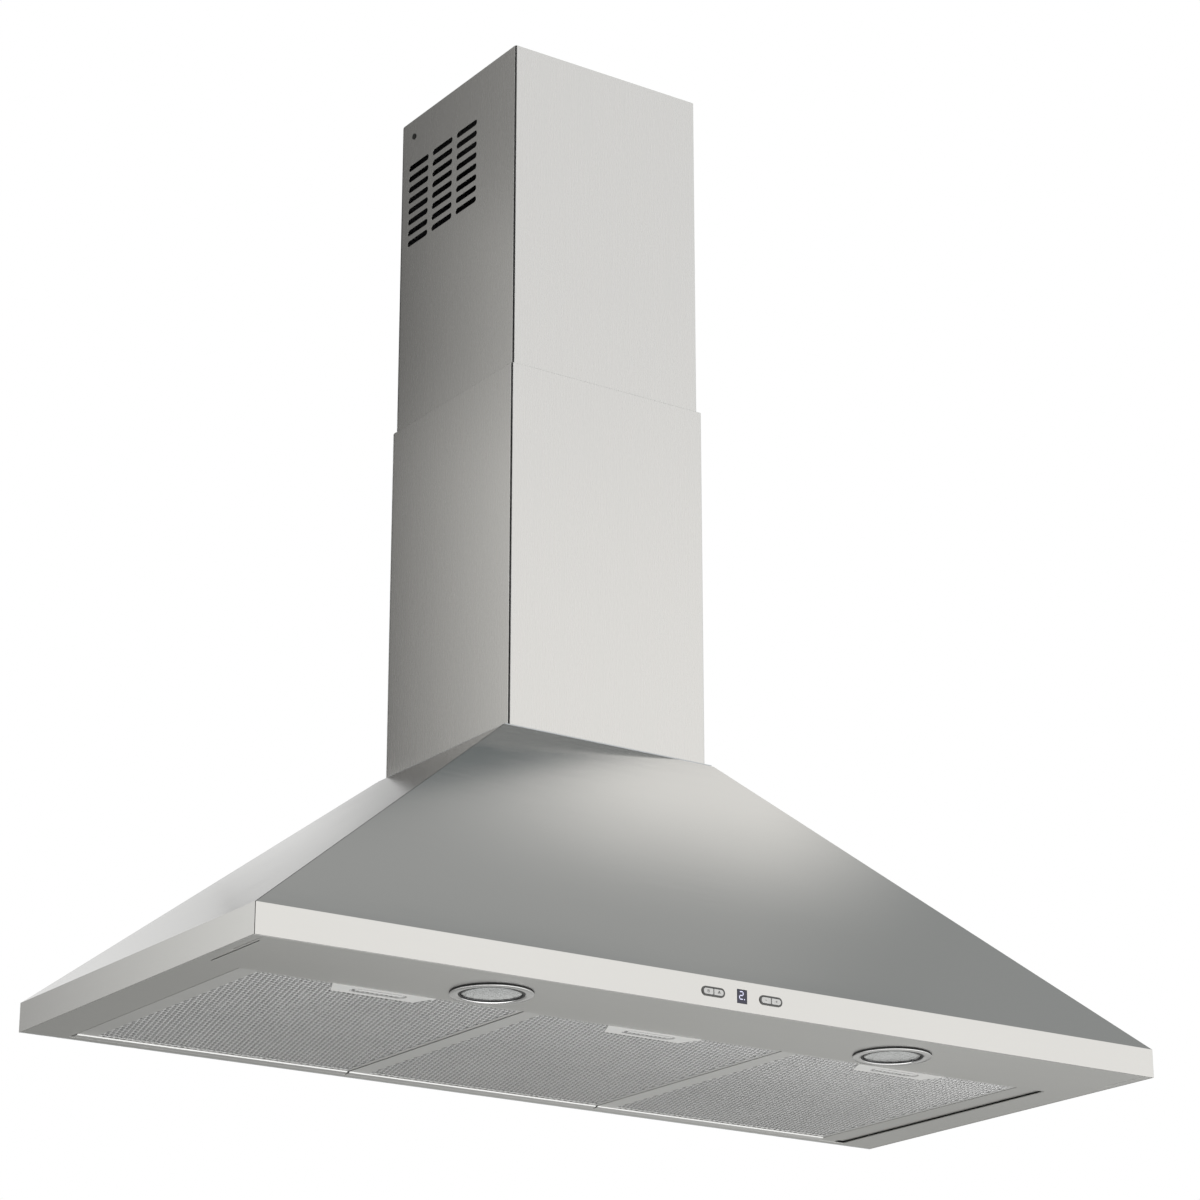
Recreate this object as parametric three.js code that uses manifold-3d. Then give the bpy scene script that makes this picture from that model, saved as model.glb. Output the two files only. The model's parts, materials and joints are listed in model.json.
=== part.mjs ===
// Wall-mounted chimney range hood: a pyramid canopy of welded steel sheets with a thin rim, three
// grease-filter cassettes, two lamps and a push-button panel below, a double-inlet blower inside,
// and a two-piece telescopic chimney cover above.
//
// Units are millimetres. X runs along the hood, -Y points out of the wall, +Z up. The drawing frame
// has Z = 0 at the bottom of the rim and Y = 0 on the wall. The finished hood is lowered by
// hangHeight, so that its origin is the point on the back plate where it hangs on the wall.

import * as THREE from 'three';
import * as BufferGeometryUtils from 'three/addons/utils/BufferGeometryUtils.js';
import Module from 'manifold-3d';

const wasm = await Module();
wasm.setup();

// ---------------------------------------------------------------- driving dimensions

// Canopy
const hoodWidth = 900;
const hoodDepth = 400;
const rimHeight = 25;
const canopyHeight = 275;
const sheet = 1.0;
const seamGap = 0.4;
const shoulder = 5;
const hangHeight = 200;

// Clearances: between pieces that touch, and how far a cutting body runs past what it cuts
const touchGap = 0.3;
const overrun = 1;
const seamOverrun = 15;

// Top plate: its upstand inside the lower cover
const upstandHeight = 12;
const upstandBackGap = 24;

// Underside panel: the bands round its filter opening, its hidden flanges and its corner slits
const frontBand = 100;
const sideBand = 39;
const backBand = 9;
const undersideFlange = 12.5;
const undersideFlangeSetback = 25;
const cornerSlitWidth = 0.8;
const cornerSlitLength = 46;
const cornerSlitSetback = 4;
const cornerSlitInset = 9;

// Chimney covers
const chimneyWidth = 210;
const chimneyDepth = 210;
const lowerCoverHeight = 341;
const upperCoverShown = 322;
const upperCoverOverlap = 60;
const telescopeGap = 2.0;
const coverReturn = 12;
const coverBackRadius = 8;
const coverFrontRadius = 1.6;

// Vent slots of the upper cover
const ventColumns = 3;
const ventRows = 8;
const ventSlotLength = 35.5;
const ventSlotHeight = 6;
const ventColumnPitch = 43;
const ventRowPitch = 11.4;
const ventTopBelowCoverTop = 51;
const ventFrontSetback = 66;
const coverScrewRadius = 2;
const coverScrewSetback = 28;
const coverScrewBelowTop = 18.5;

// Filler strip at the right end of the filter opening
const fillerWidth = 32;
const fillerStep = 12;
const fillerTabReach = 6;
const fillerTabSeat = 4;
const fillerTabInset = 4;
const fillerFold = 0.8;
const fillerStepFold = 0.6;

// Filter cassettes, side by side in the opening
const filterNames = ['left', 'centre', 'right'];
const filterLeftMargin = 4;
const cassetteGap = 1;
const filterSheet = 0.8;
const filterLift = 0.2;
const filterSideLip = 17;
const filterNarrowLip = 2.5;
const filterRail = 10;
const filterRailDrop = 1.5;
const filterHeight = 8.4;
const filterGap = 0.5;
const filterBackGap = 3;
const filterPivotSetback = 10;
const filterTabReach = 5;
const filterTabWidth = 30;
const filterTabPlaces = [0.25, 0.75];
const meshRidges = 22;
const meshThickness = 5.6;
const meshRidgeHeight = 1.2;
const meshBarWidth = 6;
const meshBarPlaces = [0.3, 0.7];

// Filter latch
const patchWidth = 95;
const patchInnerWidth = 75;
const patchDepth = 21;
const latchSlotLength = 52;
const latchSlotWidth = 11.5;
const latchSlotSetback = 5;
const latchTravel = 5.5;
const latchPlateWidth = 62;
const latchPlateDepth = 20;
const latchThickness = 1.5;
const latchTongueWidth = 22;
const latchTongueReach = 5;
const latchTongueSeat = 1;
const latchGuideWidth = 2;
const latchGuideLip = 2.5;
const latchGuideSheet = 0.8;
const latchGuideSetback = 3;
const latchPlateSetback = 2;
const latchRibDrop = 0.4;
const latchPlay = 0.3;

// Lamps
const lampX = 203;
const lampSetback = 59;
const lampRingRadius = 34;
const lampRingDrop = 1.6;
const lampRingEdge = 0.4;
const lampRingChamfer = 0.8;
const lampHoleRadius = 31;
const lampLensRadius = 27;
const lampLensSeat = 1.5;
const lampLensDrop = 0.4;
const lampLensThickness = 2.4;
const lampLensBulge = 0.8;
const lampDepth = 26;
const lampWall = 1.2;
const lampDishHeight = 14;
const lampDishWall = 0.9;
const lampDishThroat = 6;
const lampBulbRadius = 4;
const lampBulbLength = 14;
const lampBulbNose = 3;
const lampCanTop = 5;
const lampCanShoulder = 4;

// Push-button panel
const bezelX = 29;
const bezelLength = 23;
const bezelHeight = 8;
const bezelRim = 1.2;
const bezelProud = 0.7;
const bezelSeat = 0.1;
const buttonProud = 1.0;
const buttonTravel = 1.0;
const buttonPlay = 0.25;
const buttonLength = 7;
const displayWidth = 10;
const displayHeight = 11.6;
const displayProud = 0.2;
const carrierThickness = 4;
const carrierWidth = 104;
const carrierHeight = 19;
const carrierRise = 1;
const boardSetback = 10.5;
const boardThickness = 1.6;
const switchSize = 6;
const switchHeight = 2;
const digitModuleWidth = 10;
const digitModuleHeight = 11;
const digitModuleDepth = 4;
const standoffRadius = 2;
const standoffInset = 5;

// Blower
const blowerY = -146;
const blowerBelowTop = 139;
const impellerRadius = 68;
const impellerInnerRadius = 58;
const impellerWidth = 96;
const impellerRing = 4;
const impellerRunningGap = 6;
const impellerRingInset = 0.5;
const bladeCount = 30;
const bladeThickness = 1.2;
const bladeSweep = 0.13;
const bladeTipInset = 0.6;
const scrollStartRadius = 76;
const scrollEndRadius = 102;
const scrollTongueAngle = 100;
const scrollBelowTop = 32;
const scrollSheet = 1.5;
const scrollFlange = 5;
const inletRadius = 55;
const inletLip = 4;
const discX = 20;
const discThickness = 2;
const hubRadius = 11;
const hubLength = 16;
const hubLead = 2;
const shaftRadius = 4;
const shaftEnd = 2;
const motorRadius = 44;
const motorLength = 58;
const motorGap = 1.3;
const motorChamferRadius = 6;
const motorChamferLength = 5;
const motorFins = 12;
const motorFinHeight = 2;
const motorFinWidth = 2;
const motorFinSetback = 8;
const bracketArms = 3;
const bracketThickness = 2.5;
const bracketArmWidth = 12;
const bracketFoot = 7;
const bracketRingWidth = 8;

// Outlet collar and non-return damper
const collarRadius = 75;
const collarWall = 1.6;
const collarAboveTop = 38;
const collarFlangeReach = 12;
const collarFlangeSheet = 1.5;
const collarSocketHeight = 2;
const mouthFlangeReach = 4.6;
const damperAboveTop = 15;
const flapThickness = 1.2;
const flapGap = 1.2;
const axleRadius = 1.5;
const axleOverhang = 1;
const axlePlay = 0.1;
const knuckleWall = 1.3;
const knuckleCount = 3;
const knuckleGap = 0.8;
const knuckleInset = 6;

// Wall fixings and mains inlet
const hookX = 130;
const hookWidth = 26;
const hookWindowHeight = 42;
const hookWindowBelowTop = 50;
const hookSheet = 2;
const hookLip = 9;
const hookPlay = 0.6;
const hookScrewDrop = 5;
const wallScrewRadius = 2.5;
const bracketBelowTop = 34;
const bracketBandHeight = 24;
const bracketReach = 22;
const bracketSideRun = 6;
const bracketScrewX = 50;
const deflectorTopGap = 4;
const deflectorHeight = 104;
const deflectorFrontSetback = 57;
const deflectorBackGap = 5;
const deflectorWall = 2;
const deflectorSplitAbove = 40;
const deflectorSpigotRadius = 62;
const deflectorSpigotHeight = 32;
const deflectorTabHalf = 40;
const deflectorTabRise = 20;
const deflectorTabRoot = 14;
const terminalBoxWidth = 84;
const terminalBoxHeight = 58;
const terminalBoxDepth = 34;
const terminalBoxRadius = 5;
const terminalBoxX = 205;
const terminalBoxZ = 40;
const terminalEarReach = 9;
const terminalEarHeight = 18;
const terminalEarSheet = 2;
const terminalLidSeam = 0.6;
const terminalLidDepth = 22;
const glandX = 78;
const glandY = -186;
const glandRadius = 9;
const glandBore = 4.5;
const glandThreadRadius = 6.6;
const glandThreadLength = 10;
const glandCapHeight = 13;
const glandChamfer = 1;
const glandFlangeReach = 2;
const glandFlangeHeight = 4;
const glandPlay = 0.4;
const glandNutReach = 3;
const glandNutHeight = 4;

// Facets of a full turn on large, middle and small round pieces, and of a slot's round end
const largeTurn = 28;
const middleTurn = 20;
const dishTurn = 16;
const smallTurn = 12;
const screwTurn = 10;
const slotEnd = 2;
const ovalEnd = 3;

// ---------------------------------------------------------------- sizes that follow from them

const lowerCoverTop = canopyHeight + lowerCoverHeight;
const upperCoverTop = lowerCoverTop + upperCoverShown;
const blowerZ = canopyHeight - blowerBelowTop;
const scrollTop = canopyHeight - scrollBelowTop;
const hookWindowTop = canopyHeight - hookWindowBelowTop;
const coverHalf = chimneyWidth / 2;
const topHalf = coverHalf + shoulder;
const topFront = -(chimneyDepth + shoulder / 2);
const canopyRise = canopyHeight - rimHeight;
const sideRun = hoodWidth / 2 - topHalf;
const frontRun = hoodDepth + topFront;
const sideInset = (sheet * Math.hypot(sideRun, canopyRise)) / canopyRise;
const frontInset = (sheet * Math.hypot(frontRun, canopyRise)) / canopyRise;
const sheetTop = canopyHeight - sheet - touchGap;
const upperHalf = coverHalf - sheet - telescopeGap;
const upperFront = -(chimneyDepth - sheet - telescopeGap);
const chimneyCentreY = -chimneyDepth / 2;
const lampY = -(hoodDepth - lampSetback);
const panelZ = rimHeight / 2;
const openingHalfWidth = hoodWidth / 2 - sideBand;
const openingFront = frontBand - hoodDepth;
const openingBack = -backBand;
const filterLeftEdge = filterLeftMargin - openingHalfWidth;
const filterPitch = (2 * openingHalfWidth - filterLeftMargin - fillerWidth) / filterNames.length;
const filterWidth = filterPitch - cassetteGap;
const filterFront = openingFront + filterGap;
const filterBack = openingBack - filterBackGap;
const lipTop = filterLift + filterSheet;
const scrollHalf = impellerWidth / 2 + impellerRunningGap;
const collarTop = canopyHeight + collarAboveTop;
const damperZ = canopyHeight + damperAboveTop;
const collarInner = collarRadius - collarWall;

// ---------------------------------------------------------------- finishes

function finish(color, roughness, metalness) {
  return new THREE.MeshStandardMaterial({ color, roughness, metalness });
}

const brushedSteel = finish(0xc9c8c4, 0.35, 0.9);
const galvanised = finish(0xa9adb0, 0.5, 0.8);
const aluminium = finish(0xb9bab8, 0.45, 0.8);
const chrome = finish(0xd8d8d6, 0.15, 1.0);
const glass = finish(0xe6e9ea, 0.1, 0.0);
const greyPlastic = finish(0x8d8f91, 0.5, 0.0);
const darkPlastic = finish(0x2a2c30, 0.5, 0.0);
const displayGlass = finish(0x10162c, 0.15, 0.0);
const boardGreen = finish(0x2c5a3a, 0.6, 0.0);
const motorSteel = finish(0x6f7275, 0.5, 0.7);

// ---------------------------------------------------------------- geometry tools

function signedVolume(positions, index) {
  const a = new THREE.Vector3();
  const b = new THREE.Vector3();
  const c = new THREE.Vector3();
  let total = 0;
  for (let i = 0; i < index.length; i += 3) {
    a.fromArray(positions, index[i] * 3);
    b.fromArray(positions, index[i + 1] * 3);
    c.fromArray(positions, index[i + 2] * 3);
    total += a.dot(b.cross(c)) / 6;
  }
  return total;
}

// A closed three.js geometry becomes a solid: equal corners are merged, slivers with two equal
// corners are left out, and a surface that came out inside-out is turned.
function toSolid(geometry) {
  const bare = geometry.clone();
  bare.deleteAttribute('normal');
  bare.deleteAttribute('uv');
  const merged = BufferGeometryUtils.mergeVertices(bare, 1e-4);
  const positions = merged.attributes.position.array;
  const index = merged.index.array;
  const triangles = [];
  for (let i = 0; i < index.length; i += 3) {
    const [a, b, c] = [index[i], index[i + 1], index[i + 2]];
    if (a !== b && b !== c && c !== a) {
      triangles.push(a, b, c);
    }
  }
  if (signedVolume(positions, triangles) < 0) {
    triangles.reverse();
  }
  return new wasm.Manifold(new wasm.Mesh({
    numProp: 3,
    vertProperties: new Float32Array(positions),
    triVerts: new Uint32Array(triangles),
  }));
}

function toGeometry(solid) {
  const mesh = solid.getMesh();
  const geometry = new THREE.BufferGeometry();
  geometry.setAttribute('position', new THREE.BufferAttribute(mesh.vertProperties, 3));
  geometry.setIndex(new THREE.BufferAttribute(mesh.triVerts, 1));
  geometry.computeVertexNormals();
  return geometry;
}

function join(solids) {
  return solids.reduce((all, solid) => all.add(solid));
}

function cut(solid, tools) {
  return tools.reduce((rest, tool) => rest.subtract(tool), solid);
}

function block(x, y, z) {
  const geometry = new THREE.BoxGeometry(x[1] - x[0], y[1] - y[0], z[1] - z[0]);
  geometry.translate((x[0] + x[1]) / 2, (y[0] + y[1]) / 2, (z[0] + z[1]) / 2);
  return toSolid(geometry);
}

function outline(points) {
  return new THREE.Shape(points.map(([u, v]) => new THREE.Vector2(u, v)));
}

// A stadium, the outline of a slot with round ends, centred on the origin and long along u.
function stadium(length, height) {
  const r = height / 2;
  const shape = new THREE.Shape();
  shape.absarc(length / 2 - r, 0, r, -Math.PI / 2, Math.PI / 2, false);
  shape.absarc(-(length / 2 - r), 0, r, Math.PI / 2, (3 * Math.PI) / 2, false);
  return shape;
}

function extrude(shape, depth, curveSegments = 6) {
  return new THREE.ExtrudeGeometry(shape, { depth, bevelEnabled: false, curveSegments });
}

// Prisms along the three axes. The outline is given in XY, in YZ and in XZ.
function prismZ(shape, z, curveSegments) {
  const geometry = extrude(shape, z[1] - z[0], curveSegments);
  geometry.translate(0, 0, z[0]);
  return toSolid(geometry);
}

const xyzFromYzx = new THREE.Matrix4().makeBasis(
  new THREE.Vector3(0, 1, 0), new THREE.Vector3(0, 0, 1), new THREE.Vector3(1, 0, 0));
const xyzFromXzy = new THREE.Matrix4().makeBasis(
  new THREE.Vector3(1, 0, 0), new THREE.Vector3(0, 0, 1), new THREE.Vector3(0, -1, 0));

function prismX(shape, x, curveSegments) {
  const geometry = extrude(shape, x[1] - x[0], curveSegments);
  geometry.applyMatrix4(xyzFromYzx);
  geometry.translate(x[0], 0, 0);
  return toSolid(geometry);
}

function prismY(shape, y, curveSegments) {
  const geometry = extrude(shape, y[1] - y[0], curveSegments);
  geometry.applyMatrix4(xyzFromXzy);
  geometry.translate(0, y[1], 0);
  return toSolid(geometry);
}

// A body turned about the Z axis from a closed profile of [radius, height] points.
function revolve(profile, segments) {
  const points = profile.map(([r, z]) => new THREE.Vector2(r, z));
  if (profile[0][0] > 0) {
    points.push(points[0].clone());
  }
  const geometry = new THREE.LatheGeometry(points, segments);
  geometry.rotateX(Math.PI / 2);
  return toSolid(geometry);
}

function tube(outer, inner, z, segments) {
  return revolve([[inner, z[0]], [outer, z[0]], [outer, z[1]], [inner, z[1]]], segments);
}

function rod(radius, z, segments) {
  return revolve([[0, z[0]], [radius, z[0]], [radius, z[1]], [0, z[1]]], segments);
}

function alongX(solid) {
  return solid.rotate([0, 90, 0]);
}

function alongY(solid) {
  return solid.rotate([90, 0, 0]);
}

// Rounds the inner corners of a path of [u, v] points.
function fillet(path, radii, steps) {
  const result = [path[0]];
  for (let i = 1; i < path.length - 1; i += 1) {
    const corner = new THREE.Vector2(...path[i]);
    const before = new THREE.Vector2(...path[i - 1]).sub(corner).normalize();
    const after = new THREE.Vector2(...path[i + 1]).sub(corner).normalize();
    const half = Math.acos(THREE.MathUtils.clamp(before.dot(after), -1, 1)) / 2;
    const reach = radii[i - 1] / Math.tan(half);
    const start = corner.clone().addScaledVector(before, reach);
    const end = corner.clone().addScaledVector(after, reach);
    const curve = new THREE.QuadraticBezierCurve(start, corner, end);
    curve.getPoints(steps).forEach((p) => result.push([p.x, p.y]));
  }
  result.push(path[path.length - 1]);
  return result;
}

// The outline of a bent strip: a path given its thickness to its left-hand side.
function strip(path, thickness) {
  const points = path.map(([u, v]) => new THREE.Vector2(u, v));
  const normalOf = (a, b) => new THREE.Vector2(a.y - b.y, b.x - a.x).normalize();
  const offset = points.map((point, i) => {
    const before = i > 0 ? normalOf(points[i - 1], point) : normalOf(point, points[1]);
    const after = i < points.length - 1 ? normalOf(point, points[i + 1]) : before;
    const mitre = before.clone().add(after).normalize();
    return point.clone().addScaledVector(mitre, thickness / mitre.dot(before));
  });
  return new THREE.Shape([...points, ...offset.reverse()]);
}

// A body with a four-sided section that changes from one rectangle to another.
function frustum(low, high) {
  const positions = [];
  for (const level of [low, high]) {
    positions.push(level.x[0], level.y[0], level.z, level.x[1], level.y[0], level.z);
    positions.push(level.x[1], level.y[1], level.z, level.x[0], level.y[1], level.z);
  }
  const geometry = new THREE.BufferGeometry();
  geometry.setAttribute('position', new THREE.Float32BufferAttribute(positions, 3));
  const index = [0, 2, 1, 0, 3, 2, 4, 5, 6, 4, 6, 7];
  for (let i = 0; i < 4; i += 1) {
    const j = (i + 1) % 4;
    index.push(i, j, 4 + j, i, 4 + j, 4 + i);
  }
  geometry.setIndex(index);
  return toSolid(geometry);
}

// A thin-walled duct through closed rings of points: the outer rings upwards, then the inner rings
// back down, joined ring to ring and closed at both ends.
function ductWall(outerRings, innerRings) {
  const rings = [...outerRings, ...[...innerRings].reverse()];
  const count = rings[0].length;
  const positions = rings.flat(2);
  const index = [];
  rings.forEach((ring, level) => {
    const next = (level + 1) % rings.length;
    for (let i = 0; i < count; i += 1) {
      const j = (i + 1) % count;
      index.push(level * count + i, level * count + j, next * count + j);
      index.push(level * count + i, next * count + j, next * count + i);
    }
  });
  const geometry = new THREE.BufferGeometry();
  geometry.setAttribute('position', new THREE.Float32BufferAttribute(positions, 3));
  geometry.setIndex(index);
  return toSolid(geometry);
}

const hood = new THREE.Group();

function add(name, solid, material) {
  const mesh = new THREE.Mesh(toGeometry(solid), material);
  mesh.name = name;
  hood.add(mesh);
}

// ---------------------------------------------------------------- canopy

// Rim and pyramid as one closed shell, before it is parted into its welded sheets.
function canopyShell() {
  const half = hoodWidth / 2;
  const rimOuter = block([-half, half], [-hoodDepth, 0], [0, rimHeight]);
  const coneOuter = frustum(
    { x: [-half, half], y: [-hoodDepth, 0], z: rimHeight },
    { x: [-topHalf, topHalf], y: [topFront, 0], z: canopyHeight });
  const rimInner = block(
    [-half + sheet, half - sheet], [-hoodDepth + sheet, overrun], [-overrun, rimHeight]);
  const low = half - sideInset;
  const high = topHalf - sideInset;
  const coneInner = frustum(
    { x: [-low, low], y: [-hoodDepth + frontInset, overrun], z: rimHeight },
    { x: [-high, high], y: [topFront + frontInset, overrun], z: canopyHeight });
  const above = block([-half, half], [-hoodDepth, overrun], [sheetTop, canopyHeight + overrun]);
  return cut(rimOuter.add(coneOuter), [rimInner.add(coneInner), above]);
}

// The seams run down the hips. In plan each is a straight line from the top corner to the rim corner.
function hipLine(side, offset) {
  const rimCorner = new THREE.Vector2((side * hoodWidth) / 2, -hoodDepth);
  const topCorner = new THREE.Vector2(side * topHalf, topFront);
  const along = topCorner.clone().sub(rimCorner).normalize();
  const forward = new THREE.Vector2(along.y * -side, along.x * side);
  rimCorner.addScaledVector(along, -seamOverrun).addScaledVector(forward, offset);
  topCorner.addScaledVector(along, seamOverrun).addScaledVector(forward, offset);
  return [rimCorner.toArray(), topCorner.toArray()];
}

function frontRegion() {
  const [leftRim, leftTop] = hipLine(-1, seamGap / 2);
  const [rightRim, rightTop] = hipLine(1, seamGap / 2);
  return prismZ(outline([leftRim, rightRim, rightTop, leftTop]), [-overrun, canopyHeight]);
}

function sideRegion(side) {
  const [rim, top] = hipLine(side, -seamGap / 2);
  const beyond = side * (hoodWidth / 2 + 2 * seamOverrun);
  const points = [rim, top, [top[0], overrun], [beyond, overrun], [beyond, rim[1]]];
  return prismZ(outline(points), [-overrun, canopyHeight]);
}

// Two ovals and a window, through the rim and the carrier behind it.
function panelCuts() {
  const depth = [-hoodDepth - overrun, -hoodDepth + sheet + touchGap + carrierThickness + overrun];
  const oval = prismY(stadium(bezelLength - bezelRim, bezelHeight - bezelRim), depth, ovalEnd);
  const ovals = [-1, 1].map((side) => oval.translate([side * bezelX, 0, panelZ]));
  const [width, height] = [displayWidth / 2, displayHeight / 2];
  const window = block([-width, width], depth, [panelZ - height, panelZ + height]);
  return [...ovals, window];
}

function makeCanopy() {
  const shell = canopyShell();
  add('canopy_front_sheet', cut(shell.intersect(frontRegion()), panelCuts()), brushedSteel);
  add('canopy_left_sheet', shell.intersect(sideRegion(-1)), brushedSteel);
  add('canopy_right_sheet', shell.intersect(sideRegion(1)), brushedSteel);
}

// Wall plate of the canopy, with the two windows that drop over the wall hooks.
function makeBackPlate() {
  const low = hoodWidth / 2 - sheet - touchGap;
  const middle = hoodWidth / 2 - sideInset - touchGap;
  const high = topHalf - sideInset - touchGap;
  const shape = outline([
    [-low, 0], [low, 0], [low, rimHeight - sheet], [middle, rimHeight], [high, sheetTop],
    [-high, sheetTop], [-middle, rimHeight], [-low, rimHeight - sheet]]);
  const plate = prismY(shape, [-sheet, 0]);
  const reach = hookWidth / 2 + hookPlay;
  const windows = [-1, 1].map((side) => block(
    [side * hookX - reach, side * hookX + reach],
    [-sheet - overrun, overrun], [hookWindowTop - hookWindowHeight, hookWindowTop]));
  add('canopy_back_plate', cut(plate, windows), galvanised);
}

// Plate under the chimney: a hole for the outlet collar, one for the cable gland, and an upstand on
// three sides that the lower cover slips over.
function makeTopPlate() {
  const plate = block([-topHalf, topHalf], [topFront, 0], [canopyHeight - sheet, canopyHeight]);
  const inside = coverHalf - sheet - touchGap;
  const front = -chimneyDepth + sheet + touchGap;
  const back = -upstandBackGap;
  const path = [[-inside, back], [-inside, front], [inside, front], [inside, back]];
  const upstand = prismZ(strip(path, sheet), [canopyHeight - sheet / 2, canopyHeight + upstandHeight]);
  const through = [canopyHeight - sheet - overrun, canopyHeight + overrun];
  const hole = rod(collarRadius + touchGap, through, largeTurn);
  const glandHole = rod(glandThreadRadius + glandPlay, through, smallTurn);
  const tools = [hole.translate([0, chimneyCentreY, 0]), glandHole.translate([glandX, glandY, 0])];
  add('canopy_top_plate', cut(plate.add(upstand), tools), galvanised);
}

// Underside: filter opening, two lamp holes, a hidden flange along each side, and the short slit
// beside each front corner.
function makeUnderside() {
  const half = hoodWidth / 2 - sheet - touchGap;
  const front = -hoodDepth + sheet + touchGap;
  const back = -sheet - touchGap;
  const through = [-overrun, sheet + overrun];
  const panel = block([-half, half], [front, back], [0, sheet]);
  const tools = [block([-openingHalfWidth, openingHalfWidth], [openingFront, openingBack], through)];
  const parts = [panel];
  const slitStart = front + cornerSlitSetback;
  for (const side of [-1, 1]) {
    const edge = [side * half, side * (half - sheet)].sort((a, b) => a - b);
    parts.push(block(edge, [front + undersideFlangeSetback, back], [0, undersideFlange]));
    tools.push(rod(lampHoleRadius, through, largeTurn).translate([side * lampX, lampY, 0]));
    const slitX = side * (half - cornerSlitInset);
    const across = [slitX - cornerSlitWidth / 2, slitX + cornerSlitWidth / 2];
    tools.push(block(across, [slitStart, slitStart + cornerSlitLength], through));
  }
  add('underside_panel', cut(join(parts), tools), brushedSteel);
}

// Narrow steel strip that closes the opening to the right of the last cassette. At each end a tab
// steps up and rests on the panel.
function makeFillerStrip() {
  const left = filterLeftEdge + filterPitch * filterNames.length + filterGap;
  const right = openingHalfWidth - touchGap;
  const stepX = right - fillerStep;
  const stepZ = sheet + lipTop;
  const path = [
    [left, filterHeight], [left, filterLift], [stepX, filterLift], [stepX, stepZ], [right, stepZ]];
  const profile = strip(fillet(path, [fillerFold, fillerStepFold, fillerStepFold], 2), filterSheet);
  const parts = [prismY(profile, [filterFront, openingBack - touchGap])];
  const x = [left + fillerTabInset, stepX - fillerTabInset];
  const tabLow = sheet + touchGap;
  const ends = [
    [openingFront - fillerTabReach, filterFront, filterFront + fillerTabSeat],
    [-sheet - touchGap, openingBack - touchGap, openingBack - fillerTabSeat]];
  for (const [outer, edge, inner] of ends) {
    const tab = [outer, inner].sort((a, b) => a - b);
    const riser = [edge, inner].sort((a, b) => a - b);
    parts.push(block(x, tab, [tabLow, tabLow + filterSheet]));
    parts.push(block(x, riser, [filterLift + filterSheet / 2, tabLow + filterSheet / 2]));
  }
  add('filter_filler_strip', join(parts), brushedSteel);
}

// ---------------------------------------------------------------- chimney covers

// Plan of a cover: open to the wall, with a narrow return along each back edge.
function coverPlan(half, front, back) {
  const path = [
    [-half + coverReturn, back], [-half, back], [-half, front],
    [half, front], [half, back], [half - coverReturn, back]];
  const radii = [coverBackRadius, coverFrontRadius, coverFrontRadius, coverBackRadius];
  return strip(fillet(path, radii, 4), sheet);
}

function makeLowerCover() {
  const plan = coverPlan(coverHalf, -chimneyDepth, 0);
  add('chimney_lower_cover', prismZ(plan, [canopyHeight + touchGap, lowerCoverTop]), brushedSteel);
}

// The upper cover has its vent slots and one screw hole in each side wall.
function makeUpperCover() {
  const plan = coverPlan(upperHalf, upperFront, -sheet - touchGap);
  const body = prismZ(plan, [lowerCoverTop - upperCoverOverlap, upperCoverTop]);
  const through = [-upperHalf - overrun, upperHalf + overrun];
  const across = prismX(stadium(ventSlotLength, ventSlotHeight), through, slotEnd);
  const tools = [];
  for (let column = 0; column < ventColumns; column += 1) {
    for (let row = 0; row < ventRows; row += 1) {
      const y = upperFront + ventFrontSetback + ventSlotLength / 2 + column * ventColumnPitch;
      const z = upperCoverTop - ventTopBelowCoverTop - row * ventRowPitch;
      tools.push(across.translate([0, y, z]));
    }
  }
  const screwHole = alongX(rod(coverScrewRadius, through, screwTurn));
  tools.push(screwHole.translate([0, -coverScrewSetback, upperCoverTop - coverScrewBelowTop]));
  add('chimney_upper_cover', cut(body, tools), brushedSteel);
}

// ---------------------------------------------------------------- wall fixings

function wallScrewHole(x, z) {
  const reach = hookSheet + overrun;
  return alongY(rod(wallScrewRadius, [-reach, reach], screwTurn)).translate([x, 0, z]);
}

// Bent strap on the wall near the top: its middle lies on the wall between the returns of the upper
// cover, and its ends come forward against the inside of the side walls.
function makeWallBracket() {
  const inside = upperHalf - sheet - touchGap;
  const jog = -sheet - touchGap - coverBackRadius - hookSheet;
  const flat = upperHalf - coverReturn - bracketSideRun;
  const path = [
    [inside, -bracketReach], [inside, jog], [flat, jog], [flat, 0],
    [-flat, 0], [-flat, jog], [-inside, jog], [-inside, -bracketReach]];
  const band = prismZ(strip(path, hookSheet), [0, bracketBandHeight]);
  const holes = [-1, 1].map((side) => wallScrewHole(side * bracketScrewX, bracketBandHeight / 2));
  const placed = cut(band, holes).translate([0, 0, upperCoverTop - bracketBelowTop]);
  add('chimney_wall_bracket', placed, galvanised);
}

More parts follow.
